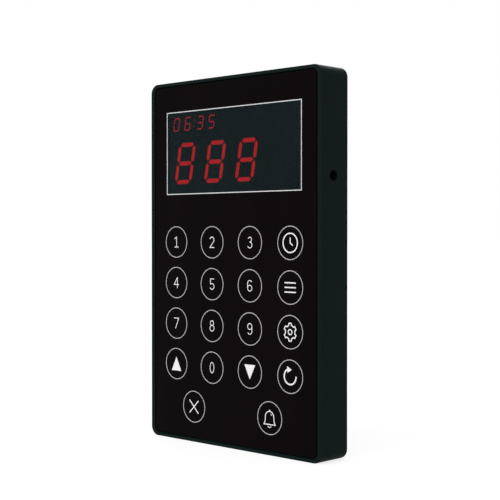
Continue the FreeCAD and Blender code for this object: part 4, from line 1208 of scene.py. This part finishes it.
class KEYPAD_OT_jack(Step, bpy.types.Operator):
    """Builds the power jack and its centre pin"""

    bl_idname = "keypad.jack"
    bl_label = "Power jack"

    def execute(self, context):
        sizes = context.scene.keypad_sizes
        low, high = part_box("jack_body")
        port = centre_of("jack_pin")
        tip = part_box("jack_pin")[1].x
        floor = high.x - sizes.jack_depth
        mouth = high.x + SPARE
        jack = start_block("jack_block", low, high)
        soften_piece(jack, sizes.lip, LIP_STEPS, at_corner)
        drill(jack, ((floor + mouth) / 2, port.y, port.z), sizes.jack_socket, mouth - floor, X)
        soften_piece(jack, sizes.port_edge, LIP_STEPS, round_port(high.x, port, sizes.jack_hole))
        # The jack's black is darker than the other parts': painted shade of its socket
        finish(jack, "part_black", "jack_body", look="jack_shaded_black")
        place = ((floor + tip) / 2, port.y, port.z)
        pin = start_disc("jack_contact", place, sizes.jack_pin, tip - floor, X)
        soften_piece(pin, sizes.jack_pin * EDGE_SHARE, EDGE_STEPS, in_plane(X, tip))
        finish(pin, "pin_metal", "jack_pin")
        return {"FINISHED"}


class KEYPAD_OT_switch(Step, bpy.types.Operator):
    """Builds the ribbed knob of the power switch, which slides in the left side"""

    bl_idname = "keypad.switch"
    bl_label = "Power switch"

    def execute(self, context):
        sizes = context.scene.keypad_sizes
        low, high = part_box("switch_slider")
        y, z = centre_of("jack_pin").y, (low.z + high.z) / 2
        face = low.x + sizes.knob_rib / 2
        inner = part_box("switch_frame")[0].x + sizes.knob_shell + sizes.knob_slide
        half = Vector((0, sizes.knob_thickness, sizes.knob_length)) / 2
        knob = start_block("switch_knob_cap", Vector((face, y, z)) - half, Vector((inner, y, z)) + half)
        soften_piece(knob, sizes.knob_edge, LIP_STEPS, in_plane(X, face))
        crest, root = low.x, face + sizes.lip
        half = Vector((0, sizes.knob_thickness / 2 - sizes.knob_edge, sizes.knob_rib / 2))
        for n in (-1, 0, 1):
            rib_z = z + n * sizes.knob_rib_pitch
            rib = start_block("rib", Vector((crest, y, rib_z)) - half, Vector((root, y, rib_z)) + half)
            soften_piece(rib, sizes.knob_rib * RIB_EDGE_SHARE, LIP_STEPS, in_plane(X, crest))
            carve(knob, rib, "UNION")
        carriage = start_block("carriage", (inner, low.y, low.z), high)
        soften_piece(carriage, sizes.lip, LIP_STEPS, at_corner)
        carve(knob, carriage, "UNION")
        finish(knob, "part_black", "switch_slider", body=KNOB)
        return {"FINISHED"}


class KEYPAD_OT_inner_parts(Step, bpy.types.Operator):
    """Gives every other node of the frame its finish"""

    bl_idname = "keypad.inner_parts"
    bl_label = "Inner parts and print"

    def execute(self, context):
        for part in frame["record"]["subparts"]:
            node = frame["nodes"][part["node"]]
            slot = part["material_slot"]
            for held in node.material_slots:
                held.material = finish_of(slot)
        return {"FINISHED"}


# Stage: light of the world where it is seen and where it lights, and the floor's paint, glow and side
BACKGROUND = 1.0
AMBIENT = 0.55
FLOOR_SHADE = 0.3
FLOOR_LIFT = 0.77
FLOOR_SIZE = 40.0

# Camera: its place, its pitch and yaw in degrees, and its lens
CAMERA_PLACE = (391.8 * MM, -403.6 * MM, 104.1 * MM)
CAMERA_PITCH = -0.838
CAMERA_YAW = 43.875
CAMERA_LENS = 82.92

# Lamps: name, direction that the light comes from, strength, and width in degrees
LAMPS = (
    ("key_lamp", (-0.3, -0.82, 0.5), 0.55, 50.0),
    ("fill_lamp", (0.75, -0.45, 0.5), 0.2, 60.0),
    ("back_lamp", (-0.55, 0.7, 0.45), 0.4, 50.0),
)


def seen_directly(tree):
    """Socket that is 1 for rays from the camera and for those that glossy or clear surfaces send on."""
    path = tree.nodes.new("ShaderNodeLightPath")
    total = path.outputs["Is Camera Ray"]
    for other in ("Is Glossy Ray", "Is Transmission Ray"):
        either = add_node(tree, "ShaderNodeMath", operation="MAXIMUM")
        tree.links.new(total, either.inputs[0])
        wire(path, other, either, 1)
        total = either.outputs[0]
    return total


class KEYPAD_OT_stage(Step, bpy.types.Operator):
    """Builds the pale floor, the soft light and the camera"""

    bl_idname = "keypad.stage"
    bl_label = "Stage"

    def execute(self, context):
        scene = context.scene
        scene.view_settings.view_transform = "Standard"
        self.world(scene)
        self.floor()
        for name, direction, strength, width in LAMPS:
            lamp = bpy.data.objects.new(name, bpy.data.lights.new(name, "SUN"))
            lamp.data.energy = strength * math.pi
            lamp.data.angle = math.radians(width)
            lamp.rotation_euler = Vector(direction).to_track_quat("Z", "Y").to_euler()
            scene.collection.objects.link(lamp)
        camera = bpy.data.objects.new("camera", bpy.data.cameras.new("camera"))
        camera.data.lens = CAMERA_LENS
        camera.location = CAMERA_PLACE
        camera.rotation_euler = (math.radians(90 + CAMERA_PITCH), 0, math.radians(CAMERA_YAW))
        scene.collection.objects.link(camera)
        bpy.context.scene.camera = camera
        return {"FINISHED"}

    def world(self, scene):
        """White where it is seen, softer where it lights the object."""
        world = bpy.data.worlds.new("studio")
        world.use_nodes = True
        tree = world.node_tree
        shader = tree.nodes["Background"]
        shader.inputs["Color"].default_value = (1, 1, 1, 1)
        spread = add_node(tree, "ShaderNodeMapRange", to_min=AMBIENT, to_max=BACKGROUND)
        tree.links.new(seen_directly(tree), spread.inputs["Value"])
        wire(spread, "Result", shader, "Strength")
        scene.world = world

    def floor(self):
        """Pale floor that keeps the object's shadow and meets the white of the world."""
        bpy.ops.object.select_all(action="DESELECT")
        bpy.ops.mesh.primitive_plane_add(size=FLOOR_SIZE)
        floor = settled("floor")
        material = bpy.data.materials.new("floor")
        material.use_nodes = True
        tree = material.node_tree
        tree.nodes.remove(tree.nodes["Principled BSDF"])
        paint = add_node(tree, "ShaderNodeBsdfDiffuse")
        paint.inputs["Color"].default_value = (FLOOR_SHADE, FLOOR_SHADE, FLOOR_SHADE, 1)
        lift = add_node(tree, "ShaderNodeEmission")
        strength = add_node(tree, "ShaderNodeMath", operation="MULTIPLY")
        strength.inputs[1].default_value = FLOOR_LIFT
        both = add_node(tree, "ShaderNodeAddShader")
        tree.links.new(seen_directly(tree), strength.inputs[0])
        wire(strength, 0, lift, "Strength")
        wire(paint, 0, both, 0)
        wire(lift, 0, both, 1)
        wire(both, 0, tree.nodes["Material Output"], "Surface")
        floor.data.materials.append(material)


STEPS = (
    KEYPAD_OT_stage,
    KEYPAD_OT_case,
    KEYPAD_OT_panel,
    KEYPAD_OT_window,
    KEYPAD_OT_rings,
    KEYPAD_OT_display,
    KEYPAD_OT_cover,
    KEYPAD_OT_feet,
    KEYPAD_OT_screws,
    KEYPAD_OT_jack,
    KEYPAD_OT_switch,
    KEYPAD_OT_inner_parts,
)


class KEYPAD_PT_steps(bpy.types.Panel):
    """Lists the steps in the sidebar"""

    bl_idname = "KEYPAD_PT_steps"
    bl_label = "Counter call keypad"
    bl_space_type = "VIEW_3D"
    bl_region_type = "UI"
    bl_category = "Keypad"

    def draw(self, context):
        for step in STEPS:
            self.layout.operator(step.bl_idname)
        for group in (context.scene.keypad_sizes, context.scene.keypad_colours):
            for name in group.__annotations__:
                self.layout.prop(group, name)


CLASSES = (KeypadSizes, KeypadColours, *STEPS, KEYPAD_PT_steps)


def register():
    for made in CLASSES:
        bpy.utils.register_class(made)
    bpy.types.Scene.keypad_sizes = bpy.props.PointerProperty(type=KeypadSizes)
    bpy.types.Scene.keypad_colours = bpy.props.PointerProperty(type=KeypadColours)


def unregister():
    del bpy.types.Scene.keypad_sizes
    del bpy.types.Scene.keypad_colours
    for made in reversed(CLASSES):
        bpy.utils.unregister_class(made)


def main():
    register()
    for step in STEPS:
        group, name = step.bl_idname.split(".")
        getattr(getattr(bpy.ops, group), name)()


if __name__ == "__main__":
    main()
